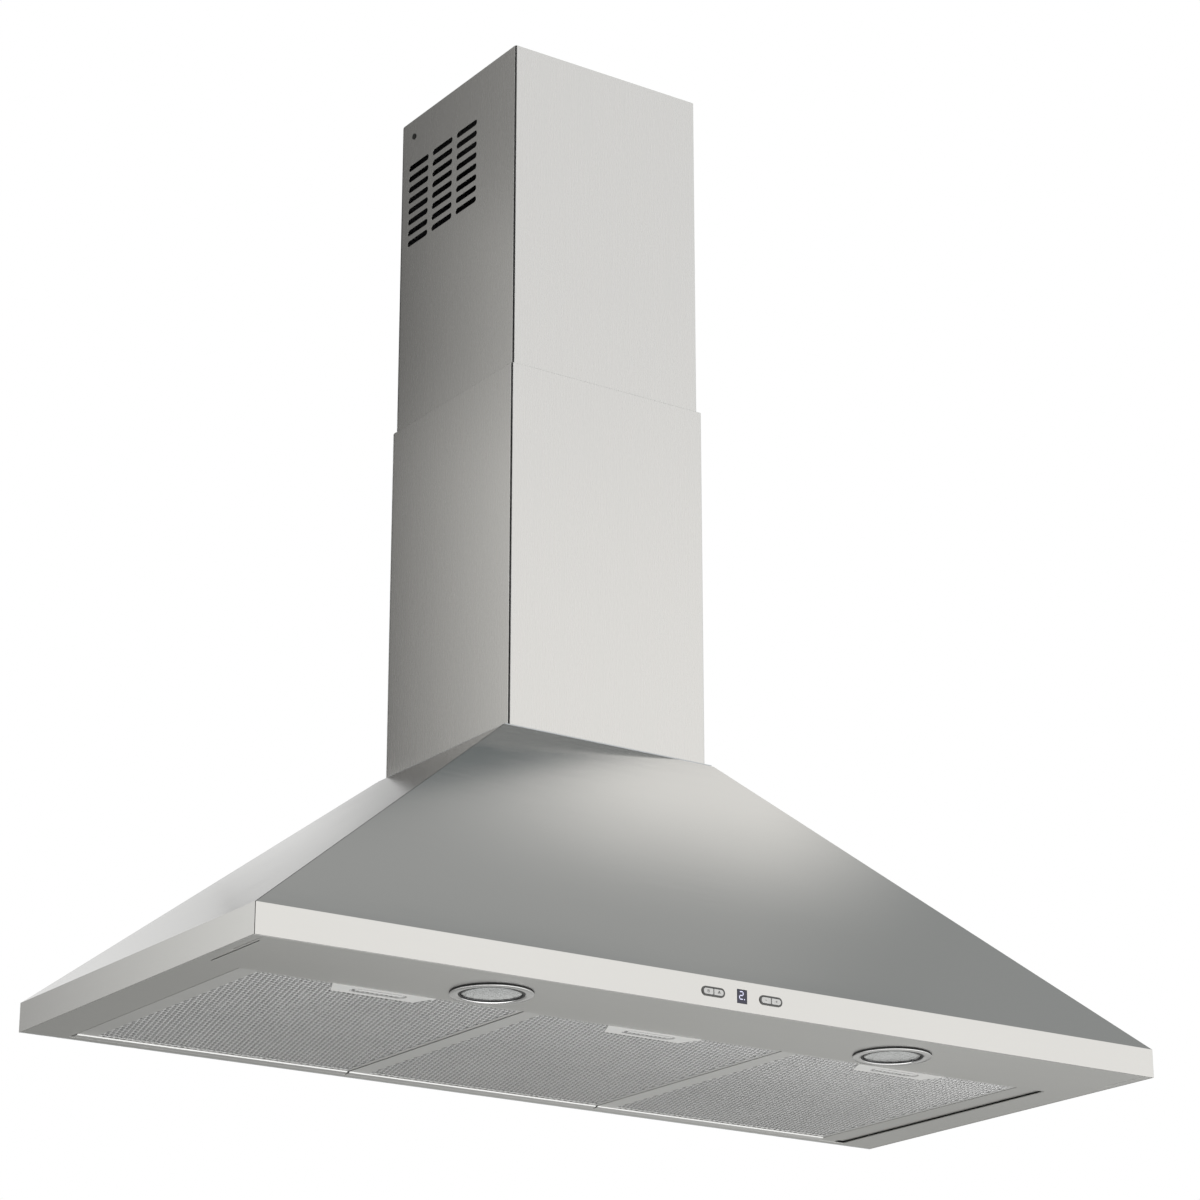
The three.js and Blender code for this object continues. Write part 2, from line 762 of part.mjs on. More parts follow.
// Moulded deflector hung on the bracket: the duct fits its round spigot, and a wall inside turns the
// air left and right to the vent slots when the hood blows back into the room.
function makeAirDeflector() {
  const half = upperHalf - coverReturn;
  const y = [upperFront + deflectorFrontSetback, -deflectorBackGap];
  const bracketLow = upperCoverTop - bracketBelowTop;
  const top = bracketLow - deflectorTopGap;
  const low = top - deflectorHeight;
  const spigotLow = low - deflectorSpigotHeight;
  const middleY = (y[0] + y[1]) / 2;
  const tabY = [-deflectorBackGap - deflectorWall, -hookSheet - touchGap];
  const box = block([-half, half], y, [low, top]);
  const spigot = rod(deflectorSpigotRadius, [spigotLow, low + deflectorWall / 2], largeTurn);
  const tab = block([-deflectorTabHalf, deflectorTabHalf], tabY,
    [top - deflectorTabRoot, bracketLow + deflectorTabRise]);
  const inside = block([-half - overrun, half + overrun],
    [y[0] + deflectorWall, y[1] - deflectorWall], [low + deflectorWall, top - deflectorWall]);
  const bore = rod(deflectorSpigotRadius - deflectorWall,
    [spigotLow - overrun, low + deflectorWall + overrun], largeTurn);
  const shell = cut(join([box, spigot.translate([0, middleY, 0])]),
    [inside, bore.translate([0, middleY, 0])]);
  const split = block([-deflectorWall / 2, deflectorWall / 2], y, [low + deflectorSplitAbove, top]);
  add('air_deflector', join([shell, split, tab]), darkPlastic);
}

// Hook screwed to the wall inside each window of the back plate: the plate's window edge rests on
// its step, and the lip in front keeps the hood on the wall.
function makeWallHooks() {
  const top = hookWindowTop - touchGap;
  const bottom = hookWindowTop - hookWindowHeight + hookPlay;
  const front = -sheet - touchGap;
  const profile = outline([
    [0, bottom], [0, top], [front, top], [front, top + hookLip], [front - hookSheet, top + hookLip],
    [front - hookSheet, top - hookSheet], [-hookSheet, top - hookSheet], [-hookSheet, bottom]]);
  for (const [name, side] of [['left', -1], ['right', 1]]) {
    const x = [side * hookX - hookWidth / 2, side * hookX + hookWidth / 2];
    const hole = wallScrewHole(side * hookX, (top + bottom) / 2 - hookScrewDrop);
    add(`wall_hook_${name}`, cut(prismX(profile, x), [hole]), galvanised);
  }
}

// ---------------------------------------------------------------- filter cassettes

// Tray of one cassette in its own frame: x from its left edge, y and z as in the drawing frame.
function filterFrame() {
  const wall = filterSheet;
  const outer = block([0, filterWidth], [filterFront, filterBack], [filterLift, filterHeight]);
  const hollow = block(
    [wall, filterWidth - wall], [filterFront + wall, filterBack - wall], [lipTop, filterHeight + overrun]);
  const window = block(
    [filterSideLip, filterWidth - filterNarrowLip],
    [filterFront + filterNarrowLip, filterBack - filterRail], [-overrun, lipTop + overrun]);
  const railMiddle = filterBack - filterRail / 2;
  const rail = prismX(outline(railProfile(railMiddle)), [0, filterWidth]);
  const bars = meshBarPlaces.map((share) => {
    const y = filterFront + share * (filterBack - filterFront);
    const x = [wall / 2, filterWidth - wall / 2];
    return block(x, [y, y + meshBarWidth], [filterHeight - wall, filterHeight]);
  });
  return join([cut(outer, [hollow, window]), rail, ...bars, ...latchSeat()]);
}

// The round back rail, an arc that hangs a little below the lips.
function railProfile(middle) {
  const steps = 6;
  const points = [];
  for (let i = 0; i <= steps; i += 1) {
    const angle = (Math.PI * i) / steps;
    const y = middle - (filterRail / 2) * Math.cos(angle);
    points.push([y, filterLift - (filterRailDrop + filterLift) * Math.sin(angle)]);
  }
  points.push([middle + filterRail / 2, lipTop], [middle - filterRail / 2, lipTop]);
  return points;
}

// Plain patch at the front edge with the finger slot, the guides of the latch, and its two back tabs.
function latchSeat() {
  const middle = filterWidth / 2;
  const inner = filterFront + patchDepth;
  const outer = filterFront + filterSheet / 2;
  const patch = prismZ(outline([
    [middle - patchWidth / 2, outer], [middle + patchWidth / 2, outer],
    [middle + patchInnerWidth / 2, inner], [middle - patchInnerWidth / 2, inner]]), [filterLift, lipTop]);
  const guides = [-1, 1].map((side) => {
    const near = middle + side * (latchPlateWidth / 2 + latchPlay);
    const far = near + side * latchGuideWidth;
    const lip = near - side * latchGuideLip;
    const top = lipTop + latchThickness + 2 * latchPlay;
    const y = [filterFront + latchGuideSetback, inner - latchGuideSheet];
    const roof = top + latchGuideSheet;
    const post = block([near, far].sort((a, b) => a - b), y, [lipTop - filterSheet / 2, roof]);
    const cap = block([lip, far].sort((a, b) => a - b), y, [top, roof]);
    return post.add(cap);
  });
  const tabLow = sheet + touchGap;
  const tabs = filterTabPlaces.map((share) => {
    const x = share * filterWidth;
    const y = [filterBack - filterSheet, -filterPivotSetback + filterTabReach];
    return block([x - filterTabWidth / 2, x + filterTabWidth / 2], y, [tabLow, tabLow + filterSheet]);
  });
  return [patch, ...guides, ...tabs];
}

function latchSlotCut() {
  const y = filterFront + latchSlotSetback + latchSlotWidth / 2;
  const through = [-overrun, lipTop + latchPlay / 2];
  const slot = prismZ(stadium(latchSlotLength, latchSlotWidth), through, ovalEnd);
  const reach = latchTongueWidth / 2 + latchPlay;
  const tongueWay = block(
    [-reach, reach], [filterFront - overrun, filterFront + filterSheet + overrun],
    [lipTop, lipTop + latchThickness + 2 * latchPlay]);
  return [slot.translate([filterWidth / 2, y, 0]), tongueWay.translate([filterWidth / 2, 0, 0])];
}

// Pad of expanded aluminium mesh layers: flat below, wavy above, notched for the latch.
function filterMesh() {
  const inset = filterSheet + touchGap;
  const left = inset;
  const right = filterWidth - inset;
  const low = lipTop + touchGap;
  const pitch = (right - left) / meshRidges;
  const points = [[left, low], [right, low]];
  for (let i = meshRidges; i >= 0; i -= 1) {
    points.push([left + i * pitch, low + meshThickness - meshRidgeHeight]);
    if (i > 0) {
      points.push([left + (i - 0.5) * pitch, low + meshThickness]);
    }
  }
  const pad = prismY(outline(points), [filterFront + inset, filterBack - inset]);
  const half = latchPlateWidth / 2 + latchGuideWidth + 4 * latchPlay;
  const depth = filterFront + latchSlotSetback + latchPlateDepth + latchTravel;
  const notch = block([-half, half], [filterFront, depth], [0, filterHeight]);
  return cut(pad, [notch.translate([filterWidth / 2, 0, 0])]);
}

// Sliding latch: a plate in the guides, a finger rib in the slot and a tongue over the panel edge.
function filterLatch() {
  const low = lipTop + latchPlay;
  const high = low + latchThickness;
  const plateFront = filterFront + latchPlateSetback;
  const ribFront = filterFront + latchSlotSetback + latchPlay;
  const ribDepth = latchSlotWidth - latchTravel - 2 * latchPlay;
  const plate = block(
    [-latchPlateWidth / 2, latchPlateWidth / 2], [plateFront, plateFront + latchPlateDepth], [low, high]);
  const tongue = block(
    [-latchTongueWidth / 2, latchTongueWidth / 2],
    [filterFront - latchTongueReach, plateFront + latchTongueSeat], [low, high]);
  const ribHeight = [filterLift - latchRibDrop, low + latchThickness / 2];
  const rib = prismZ(stadium(latchSlotLength - 2 * ribDepth, ribDepth), ribHeight, slotEnd);
  const placedRib = rib.translate([0, ribFront + ribDepth / 2, 0]);
  return join([plate, tongue, placedRib]).translate([filterWidth / 2, 0, 0]);
}

function makeFilters() {
  const frame = cut(filterFrame(), latchSlotCut());
  const mesh = filterMesh();
  const latch = filterLatch();
  filterNames.forEach((name, i) => {
    const place = [filterLeftEdge + i * filterPitch, 0, 0];
    add(`filter_frame_${name}`, frame.translate(place), aluminium);
    add(`filter_mesh_${name}`, mesh.translate(place), aluminium);
    add(`filter_latch_${name}`, latch.translate(place), chrome);
  });
}

// ---------------------------------------------------------------- lamps

// Polished dish between the lens and the bulb: a parabola whose throat the bulb passes.
function lampReflector(low) {
  const steps = 4;
  const points = (grow) => {
    const curve = [];
    for (let i = 0; i <= steps; i += 1) {
      const share = i / steps;
      const r = lampLensRadius - (lampLensRadius - lampDishThroat) * share;
      curve.push([r + grow, low + lampDishHeight * Math.sqrt(share)]);
    }
    return curve;
  };
  return revolve([...points(0), ...points(lampDishWall).reverse()], dishTurn);
}

// Each lamp drops into its hole from below: a trim ring with a sleeve, a lens on the ring's inner lip,
// a reflector and capsule bulb above it, and a can that closes the back.
function makeLamps() {
  const sleeve = lampHoleRadius - touchGap;
  const sleeveIn = sleeve - lampWall;
  const lip = lampLensRadius - lampLensSeat;
  const lensLow = -lampLensDrop;
  const ring = revolve([
    [lip, -lampRingDrop], [lampRingRadius - lampRingChamfer, -lampRingDrop],
    [lampRingRadius, -touchGap - lampRingEdge], [lampRingRadius, -touchGap], [sleeve, -touchGap],
    [sleeve, lampDepth / 2], [sleeveIn, lampDepth / 2], [sleeveIn, lensLow - touchGap],
    [lip, lensLow - touchGap]], largeTurn);
  const lensTop = lensLow + lampLensThickness;
  const bulge = new THREE.QuadraticBezierCurve(
    new THREE.Vector2(0, lensLow - lampLensBulge), new THREE.Vector2(lip / 2, lensLow - lampLensBulge),
    new THREE.Vector2(lip - touchGap, lensLow));
  const lens = revolve([
    ...bulge.getPoints(2).map((p) => [p.x, p.y]),
    [lampLensRadius, lensLow], [lampLensRadius, lensTop], [0, lensTop]], middleTurn);
  const bulbTop = lampDepth - touchGap;
  const bulbLow = bulbTop - lampBulbLength;
  const nose = new THREE.QuadraticBezierCurve(
    new THREE.Vector2(0, bulbLow), new THREE.Vector2(lampBulbRadius, bulbLow),
    new THREE.Vector2(lampBulbRadius, bulbLow + lampBulbNose));
  const bulb = revolve([
    ...nose.getPoints(3).map((p) => [p.x, p.y]), [lampBulbRadius, bulbTop], [0, bulbTop]], smallTurn);
  const canLow = lampDepth / 2 + touchGap;
  const canTop = lampDepth + lampCanTop;
  const can = revolve([
    [sleeveIn, canLow], [sleeve, canLow], [sleeve, canTop - lampCanShoulder],
    [sleeve - lampCanShoulder, canTop], [0, canTop], [0, lampDepth], [sleeveIn, lampDepth]], middleTurn);
  const reflector = lampReflector(lensTop + touchGap);
  for (const [name, side] of [['left', -1], ['right', 1]]) {
    const place = [side * lampX, lampY, 0];
    add(`lamp_ring_${name}`, ring.translate(place), chrome);
    add(`lamp_lens_${name}`, lens.translate(place), glass);
    add(`lamp_reflector_${name}`, reflector.translate(place), chrome);
    add(`lamp_bulb_${name}`, bulb.translate(place), glass);
    add(`lamp_can_${name}`, can.translate(place), galvanised);
  }
}

// ---------------------------------------------------------------- push-button panel

function makeBezels() {
  const outer = stadium(bezelLength, bezelHeight);
  const sleeve = stadium(bezelLength - bezelRim - 2 * buttonPlay, bezelHeight - bezelRim - 2 * buttonPlay);
  const bore = stadium(bezelLength - 2 * bezelRim, bezelHeight - 2 * bezelRim);
  const face = -hoodDepth;
  const neckEnd = face + sheet + carrierThickness;
  const flange = prismY(outer, [face - bezelProud, face - bezelSeat], ovalEnd);
  const neck = prismY(sleeve, [face - bezelProud / 2, neckEnd], ovalEnd);
  const hole = prismY(bore, [face - bezelProud - overrun, neckEnd + overrun], ovalEnd);
  const body = cut(flange.add(neck), [hole]);
  add('control_bezel_left', body.translate([-bezelX, 0, panelZ]), chrome);
  add('control_bezel_right', body.translate([bezelX, 0, panelZ]), chrome);
}

// Two half-oval buttons share each bezel and slide in its sleeve.
function makeButtons() {
  const length = bezelLength - 2 * bezelRim - 2 * buttonPlay;
  const height = bezelHeight - 2 * bezelRim - 2 * buttonPlay;
  const face = -hoodDepth - buttonProud;
  const whole = prismY(stadium(length, height), [face, face + buttonLength], ovalEnd);
  const side = block(
    [buttonPlay, bezelLength], [face - overrun, face + buttonLength + overrun],
    [-bezelHeight, bezelHeight]);
  const rightHalf = whole.intersect(side);
  const leftHalf = whole.intersect(side.mirror([1, 0, 0]));
  const places = [
    ['button_light', leftHalf, -bezelX], ['button_fan', rightHalf, -bezelX],
    ['button_minus', leftHalf, bezelX], ['button_plus', rightHalf, bezelX]];
  for (const [name, half, x] of places) {
    add(name, half.translate([x, 0, panelZ]), greyPlastic);
  }
}

function makeDisplay() {
  const halfWidth = displayWidth / 2 - buttonPlay;
  const halfHeight = displayHeight / 2 - buttonPlay;
  const y = [-hoodDepth - displayProud, -hoodDepth + sheet + carrierThickness];
  const glassBlock = block([-halfWidth, halfWidth], y, [panelZ - halfHeight, panelZ + halfHeight]);
  add('display_window', glassBlock, displayGlass);
}

// Plastic carrier behind the rim, with standoffs for the circuit board.
function makeCarrierAndBoard() {
  const front = -hoodDepth + sheet + touchGap;
  const back = front + carrierThickness;
  const boardFront = -hoodDepth + boardSetback;
  const z = [-1, 1].map((end) => panelZ + carrierRise + (end * carrierHeight) / 2);
  const x = [-carrierWidth / 2, carrierWidth / 2];
  const plate = block(x, [front, back], z);
  const standoff = alongY(rod(standoffRadius, [-(boardFront - touchGap), -(back - overrun)], screwTurn));
  const standoffs = [-1, 1].map((side) =>
    standoff.translate([side * (carrierWidth / 2 - standoffInset), 0, panelZ]));
  add('control_carrier', cut(plate, panelCuts()).add(join(standoffs)), darkPlastic);
  const boardMiddle = boardFront + boardThickness / 2;
  const parts = [block(x, [boardFront, boardFront + boardThickness], z)];
  const pad = switchSize / 2;
  for (const bezel of [-bezelX, bezelX]) {
    for (const side of [-1, 1]) {
      const middle = bezel + (side * bezelLength) / 4;
      parts.push(block(
        [middle - pad, middle + pad], [boardFront - switchHeight, boardMiddle],
        [panelZ - pad, panelZ + pad]));
    }
  }
  const [halfWidth, halfHeight] = [digitModuleWidth / 2, digitModuleHeight / 2];
  parts.push(block(
    [-halfWidth, halfWidth], [boardFront - digitModuleDepth, boardMiddle],
    [panelZ - halfHeight, panelZ + halfHeight]));
  add('control_board', join(parts), boardGreen);
}

// ---------------------------------------------------------------- blower

// Distance of the scroll's inner wall from the shaft: it grows evenly with the angle, from the tongue
// round the front and the bottom to the back wall.
function scrollRadius(angle) {
  const share = (angle - scrollTongueAngle) / (360 - scrollTongueAngle);
  return scrollStartRadius + (scrollEndRadius - scrollStartRadius) * share;
}

function scrollPoint(angle, grow) {
  const radians = THREE.MathUtils.degToRad(angle);
  const r = scrollRadius(angle) + grow;
  return [blowerY + r * Math.cos(radians), blowerZ + r * Math.sin(radians)];
}

// Path of the scroll sheet: down from the outlet's front wall to the tongue, round, and up the back.
function scrollPath(grow) {
  const steps = 26;
  const path = [[scrollPoint(scrollTongueAngle, grow)[0], scrollTop]];
  for (let i = 0; i <= steps; i += 1) {
    path.push(scrollPoint(scrollTongueAngle + ((360 - scrollTongueAngle) * i) / steps, grow));
  }
  path.push([path[path.length - 1][0], scrollTop]);
  return path;
}

function makeScroll() {
  const sheetStrip = strip(scrollPath(0), -scrollSheet);
  const x = [-scrollHalf, scrollHalf];
  add('blower_scroll', prismX(sheetStrip, x), galvanised);
  const mouth = inletRadius + inletLip;
  const bell = revolve([
    [inletRadius, 0], [mouth, -inletLip], [mouth + scrollSheet, -inletLip],
    [mouth + scrollSheet, scrollSheet], [inletRadius, scrollSheet]], largeTurn);
  const side = outline(scrollPath(scrollFlange));
  const start = scrollHalf + touchGap;
  const end = start + scrollSheet;
  const plate = prismX(side, [start, end]);
  const hole = alongX(rod(mouth, [start - overrun, end + overrun], largeTurn));
  const lip = alongX(bell.mirror([0, 0, 1])).translate([end, blowerY, blowerZ]);
  const right = cut(plate, [hole.translate([0, blowerY, blowerZ])]).add(lip);
  add('blower_side_right', right, galvanised);
  add('blower_side_left', right.mirror([1, 0, 0]), galvanised);
}

// One forward-curved blade in the YZ section: a thin arc between the two ring radii.
function bladeOutline() {
  const steps = 3;
  const reach = impellerRadius - bladeTipInset - impellerInnerRadius;
  const near = [];
  const far = [];
  for (let i = 0; i <= steps; i += 1) {
    const share = i / steps;
    const r = impellerInnerRadius + reach * share;
    const angle = bladeSweep * share * share;
    const half = bladeThickness / 2 / r;
    near.push([r * Math.cos(angle - half), r * Math.sin(angle - half)]);
    far.push([r * Math.cos(angle + half), r * Math.sin(angle + half)]);
  }
  return outline([...near, ...far.reverse()]);
}

// Squirrel-cage impeller: blades between two end rings, and a disc with the hub.
function makeImpeller() {
  const half = impellerWidth / 2;
  const bladeHalf = half - impellerRing / 2;
  const blade = prismX(bladeOutline(), [-bladeHalf, bladeHalf]);
  const blades = [];
  for (let i = 0; i < bladeCount; i += 1) {
    blades.push(blade.rotate([(360 * i) / bladeCount, 0, 0]));
  }
  const ringInner = impellerInnerRadius - impellerRingInset;
  const ring = alongX(tube(impellerRadius, ringInner, [0, impellerRing], largeTurn));
  const rings = [ring.translate([-half, 0, 0]), ring.translate([half - impellerRing, 0, 0])];
  const bore = shaftRadius + touchGap;
  const discRadius = impellerInnerRadius + bladeThickness;
  const disc = alongX(tube(discRadius, bore, [discX, discX + discThickness], largeTurn));
  const hubStart = discX - hubLead;
  const hub = alongX(tube(hubRadius, bore, [hubStart, hubStart + hubLength], smallTurn));
  const wheel = join([...blades, ...rings, disc, hub]);
  add('blower_impeller', wheel.translate([0, blowerY, blowerZ]), aluminium);
}

// Motor inside the left half of the cage: a ribbed can, an end boss and the shaft.
function makeMotor() {
  const end = discX - hubLead - motorGap;
  const start = end - motorLength;
  const body = motorRadius - motorFinHeight;
  const face = body - motorChamferRadius;
  const can = alongX(revolve([
    [0, start], [face, start], [body, start + motorChamferLength], [body, end - motorChamferLength],
    [face, end], [0, end]], middleTurn));
  const fin = block(
    [start + motorFinSetback, end - motorFinSetback], [-motorFinWidth / 2, motorFinWidth / 2],
    [body - motorFinHeight, motorRadius]);
  const fins = [];
  for (let i = 0; i < motorFins; i += 1) {
    fins.push(fin.rotate([(360 * i) / motorFins, 0, 0]));
  }
  const shaftTip = discX - hubLead + hubLength + shaftEnd;
  const shaft = alongX(rod(shaftRadius, [end - overrun, shaftTip], smallTurn));
  const bossEnd = bracketPlane() - bracketThickness - shaftEnd;
  const boss = alongX(rod(hubRadius, [bossEnd, start + overrun], middleTurn));
  const motor = join([can, ...fins, shaft, boss]).translate([0, blowerY, blowerZ]);
  add('blower_motor', motor, motorSteel);
}

// The side plate that the bracket stands on, and the plane of its arms, which clear the inlet's lip.
function bracketFootPlane() {
  return -scrollHalf - touchGap - scrollSheet - touchGap;
}

function bracketPlane() {
  return bracketFootPlane() - inletLip;
}

// Three arms from a ring round the motor's boss to feet on the left side plate, outside its inlet.
function makeMotorBracket() {
  const footStart = inletRadius + inletLip + scrollSheet + touchGap;
  const armEnd = footStart + bracketFoot;
  const x = [bracketPlane() - bracketThickness, bracketPlane()];
  const width = [-bracketArmWidth / 2, bracketArmWidth / 2];
  const parts = [alongX(tube(hubRadius + bracketRingWidth, hubRadius + touchGap, x, middleTurn))];
  const arm = block(x, width, [hubRadius + bracketRingWidth / 2, armEnd]);
  const foot = block([bracketPlane() - overrun, bracketFootPlane()], width, [footStart, armEnd]);
  for (let i = 0; i < bracketArms; i += 1) {
    parts.push(arm.add(foot).rotate([(360 * i) / bracketArms, 0, 0]));
  }
  add('motor_bracket', join(parts).translate([0, blowerY, blowerZ]), galvanised);
}

// ---------------------------------------------------------------- outlet and damper

function circleRing(radius, z, count) {
  const ring = [];
  for (let i = 0; i < count; i += 1) {
    const angle = (2 * Math.PI * i) / count;
    ring.push([radius * Math.cos(angle), chimneyCentreY + radius * Math.sin(angle), z]);
  }
  return ring;
}

// Points of a rectangle, one for each direction of the ring above it.
function rectangleRing(x, y, z, count) {
  const ring = [];
  const centre = (y[0] + y[1]) / 2;
  const halfY = (y[1] - y[0]) / 2;
  for (let i = 0; i < count; i += 1) {
    const angle = (2 * Math.PI * i) / count;
    const scale = 1 / Math.max(Math.abs(Math.cos(angle)), Math.abs(Math.sin(angle)));
    ring.push([x * scale * Math.cos(angle), centre + halfY * scale * Math.sin(angle), z]);
  }
  return ring;
}

// Outlet: a square socket over the scroll's mouth changes to the round spigot for the duct.
function makeOutlet() {
  const count = largeTurn;
  const path = scrollPath(0);
  const mouth = [path[0][0], path[path.length - 1][0]];
  const x = scrollHalf;
  const low = scrollTop + touchGap;
  const socket = low + collarSocketHeight;
  const neck = canopyHeight - sheet - touchGap - collarFlangeSheet;
  const rings = (grow) => {
    const y = [mouth[0] - grow, mouth[1] + grow];
    return [
      rectangleRing(x + grow, y, low, count), rectangleRing(x + grow, y, socket, count),
      circleRing(collarInner + grow, neck, count), circleRing(collarInner + grow, collarTop, count)];
  };
  const duct = ductWall(rings(collarWall), rings(0));
  const flangeZ = [neck, neck + collarFlangeSheet];
  const flange = tube(collarRadius + collarFlangeReach, collarRadius - collarWall / 2, flangeZ, count);
  const around = (grow, z) =>
    block([-x - grow, x + grow], [mouth[0] - grow, mouth[1] + grow], z);
  const mouthFlange = cut(
    around(mouthFlangeReach, [low, low + collarFlangeSheet]),
    [around(collarWall / 2, [low - overrun, low + collarFlangeSheet + overrun])]);
  const reach = collarRadius + overrun;
  const axleHole = alongX(rod(axleRadius + axlePlay, [-reach, reach], smallTurn));
  const tools = [axleHole.translate([0, chimneyCentreY, damperZ])];
  const body = join([duct, flange.translate([0, chimneyCentreY, 0]), mouthFlange]);
  add('outlet_collar', cut(body, tools), darkPlastic);
}

// Butterfly damper: two half discs on one axle across the collar. Air lifts them, weight shuts them.
function makeDamper() {
  const axleReach = collarRadius + axleOverhang;
  const axle = alongX(rod(axleRadius, [-axleReach, axleReach], smallTurn));
  add('damper_axle', axle.translate([0, chimneyCentreY, damperZ]), galvanised);
  const reach = collarInner - flapGap;
  const knuckleRadius = axleRadius + knuckleWall;
  const leafStart = knuckleRadius + knuckleGap / 2;
  const disc = rod(reach, [-flapThickness / 2, flapThickness / 2], largeTurn);
  const firstKnuckle = knuckleInset - reach;
  const span = -firstKnuckle / knuckleCount;
  const bore = alongX(rod(axleRadius + 2 * axlePlay, [-collarRadius, collarRadius], smallTurn));
  for (const [name, side] of [['front', -1], ['rear', 1]]) {
    const y = [side * leafStart, side * collarRadius].sort((a, b) => a - b);
    const arm = [0, side * (leafStart + overrun)].sort((a, b) => a - b);
    const parts = [disc.intersect(block([-collarRadius, collarRadius], y, [-flapThickness, flapThickness]))];
    for (let i = 0; i < knuckleCount; i += 1) {
      const start = firstKnuckle + (2 * i + (side < 0 ? 0 : 1)) * span;
      const x = [start + knuckleGap / 2, start + span - knuckleGap / 2];
      parts.push(block(x, arm, [-flapThickness / 2, flapThickness / 2]));
      parts.push(alongX(rod(knuckleRadius, x, smallTurn)));
    }
    const flap = cut(join(parts), [bore]).translate([0, chimneyCentreY, damperZ]);
    add(`damper_flap_${name}`, flap, greyPlastic);
  }
}

// ---------------------------------------------------------------- mains inlet

// A rectangle with round corners, centred on the origin.
function roundedRectangle(width, height, radius) {
  const [u, v] = [width / 2 - radius, height / 2 - radius];
  const shape = new THREE.Shape();
  shape.absarc(u, -v, radius, -Math.PI / 2, 0, false);
  shape.absarc(u, v, radius, 0, Math.PI / 2, false);
  shape.absarc(-u, v, radius, Math.PI / 2, Math.PI, false);
  shape.absarc(-u, -v, radius, Math.PI, (3 * Math.PI) / 2, false);
  return shape;
}

// Terminal box on the back plate: a lid meets the base at a fine groove, and two ears take screws.
function makeTerminalBox() {
  const back = -sheet - touchGap;
  const front = back - terminalBoxDepth;
  const groove = front + terminalLidDepth;
  const [width, height] = [terminalBoxWidth, terminalBoxHeight];
  const box = prismY(roundedRectangle(width, height, terminalBoxRadius), [front, back], 1);
  const earX = width / 2 + terminalEarReach;
  const ears = block(
    [-earX, earX], [back - terminalEarSheet, back], [-terminalEarHeight / 2, terminalEarHeight / 2]);
  const grooveY = [groove, groove + terminalLidSeam];
  const around = roundedRectangle(width + 2 * overrun, height + 2 * overrun, terminalBoxRadius);
  const core = roundedRectangle(width - 2 * overrun, height - 2 * overrun, terminalBoxRadius);
  const seam = cut(prismY(around, grooveY, 1), [
    prismY(core, [groove - overrun, groove + terminalLidSeam + overrun], 1)]);
  const body = cut(box.add(ears), [seam]);
  const place = [terminalBoxX, 0, terminalBoxZ + height / 2];
  add('terminal_box', body.translate(place), darkPlastic);
}

// Gland in the top plate, where the mains lead comes in, and the nut that holds it from below.
function makeGland() {
  const flange = glandRadius + glandFlangeReach;
  const gland = revolve([
    [glandBore, -glandThreadLength], [glandThreadRadius, -glandThreadLength],
    [glandThreadRadius, touchGap], [flange, touchGap], [flange, glandFlangeHeight],
    [glandRadius, glandFlangeHeight + glandChamfer], [glandThreadRadius, glandCapHeight - glandChamfer],
    [glandBore, glandCapHeight]], smallTurn);
  const nutTop = -sheet - touchGap;
  const nutLow = nutTop - glandNutHeight;
  const nutHole = rod(glandThreadRadius + glandPlay, [nutLow - overrun, nutTop + overrun], smallTurn);
  const nut = cut(rod(glandRadius + glandNutReach, [nutLow, nutTop], 6), [nutHole]);
  const place = [glandX, glandY, canopyHeight];
  add('cable_gland', gland.translate(place), darkPlastic);
  add('cable_gland_nut', nut.translate(place), darkPlastic);
}

// ---------------------------------------------------------------- assembly

makeCanopy();
makeBackPlate();
makeTopPlate();
makeUnderside();
makeFillerStrip();
makeLowerCover();
makeUpperCover();
makeWallBracket();
makeAirDeflector();
makeWallHooks();
makeFilters();
makeLamps();
makeBezels();
makeButtons();
makeDisplay();
makeCarrierAndBoard();
makeScroll();
makeImpeller();
makeMotor();
makeMotorBracket();
makeOutlet();
makeDamper();
makeTerminalBox();
makeGland();

hood.position.z = -hangHeight;

export default hood;
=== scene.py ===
import bpy
import json
import math
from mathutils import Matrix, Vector

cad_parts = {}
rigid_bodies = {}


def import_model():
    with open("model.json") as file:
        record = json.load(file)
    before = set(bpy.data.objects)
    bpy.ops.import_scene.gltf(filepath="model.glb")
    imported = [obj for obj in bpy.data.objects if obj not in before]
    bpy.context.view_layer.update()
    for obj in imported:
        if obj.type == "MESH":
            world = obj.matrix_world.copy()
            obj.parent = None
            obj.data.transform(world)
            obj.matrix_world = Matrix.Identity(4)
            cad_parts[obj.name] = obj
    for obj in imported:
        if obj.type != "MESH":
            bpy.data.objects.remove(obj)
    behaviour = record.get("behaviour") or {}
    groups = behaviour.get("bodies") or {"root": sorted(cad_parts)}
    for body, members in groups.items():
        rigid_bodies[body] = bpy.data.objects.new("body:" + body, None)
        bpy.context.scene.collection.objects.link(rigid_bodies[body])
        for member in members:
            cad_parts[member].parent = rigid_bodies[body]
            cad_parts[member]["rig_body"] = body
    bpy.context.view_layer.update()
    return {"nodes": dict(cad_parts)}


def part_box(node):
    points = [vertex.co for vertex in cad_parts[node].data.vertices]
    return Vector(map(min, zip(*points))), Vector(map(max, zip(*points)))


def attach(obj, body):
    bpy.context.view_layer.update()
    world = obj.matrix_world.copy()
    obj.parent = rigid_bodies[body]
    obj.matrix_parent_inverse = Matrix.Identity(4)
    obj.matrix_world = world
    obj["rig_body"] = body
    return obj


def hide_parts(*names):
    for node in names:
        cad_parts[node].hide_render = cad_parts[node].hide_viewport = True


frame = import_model()

# ------------------------------------------------------------------ camera
# The hood is seen from below and from its left, as by someone kneeling in front of the hob.
# A long lens stands 3.2 m away and looks up.

camera_place = (-1.6595, -2.6181, -0.8424)
camera_turn = 34.42
camera_tilt = 19.80
camera_lens = 104.62

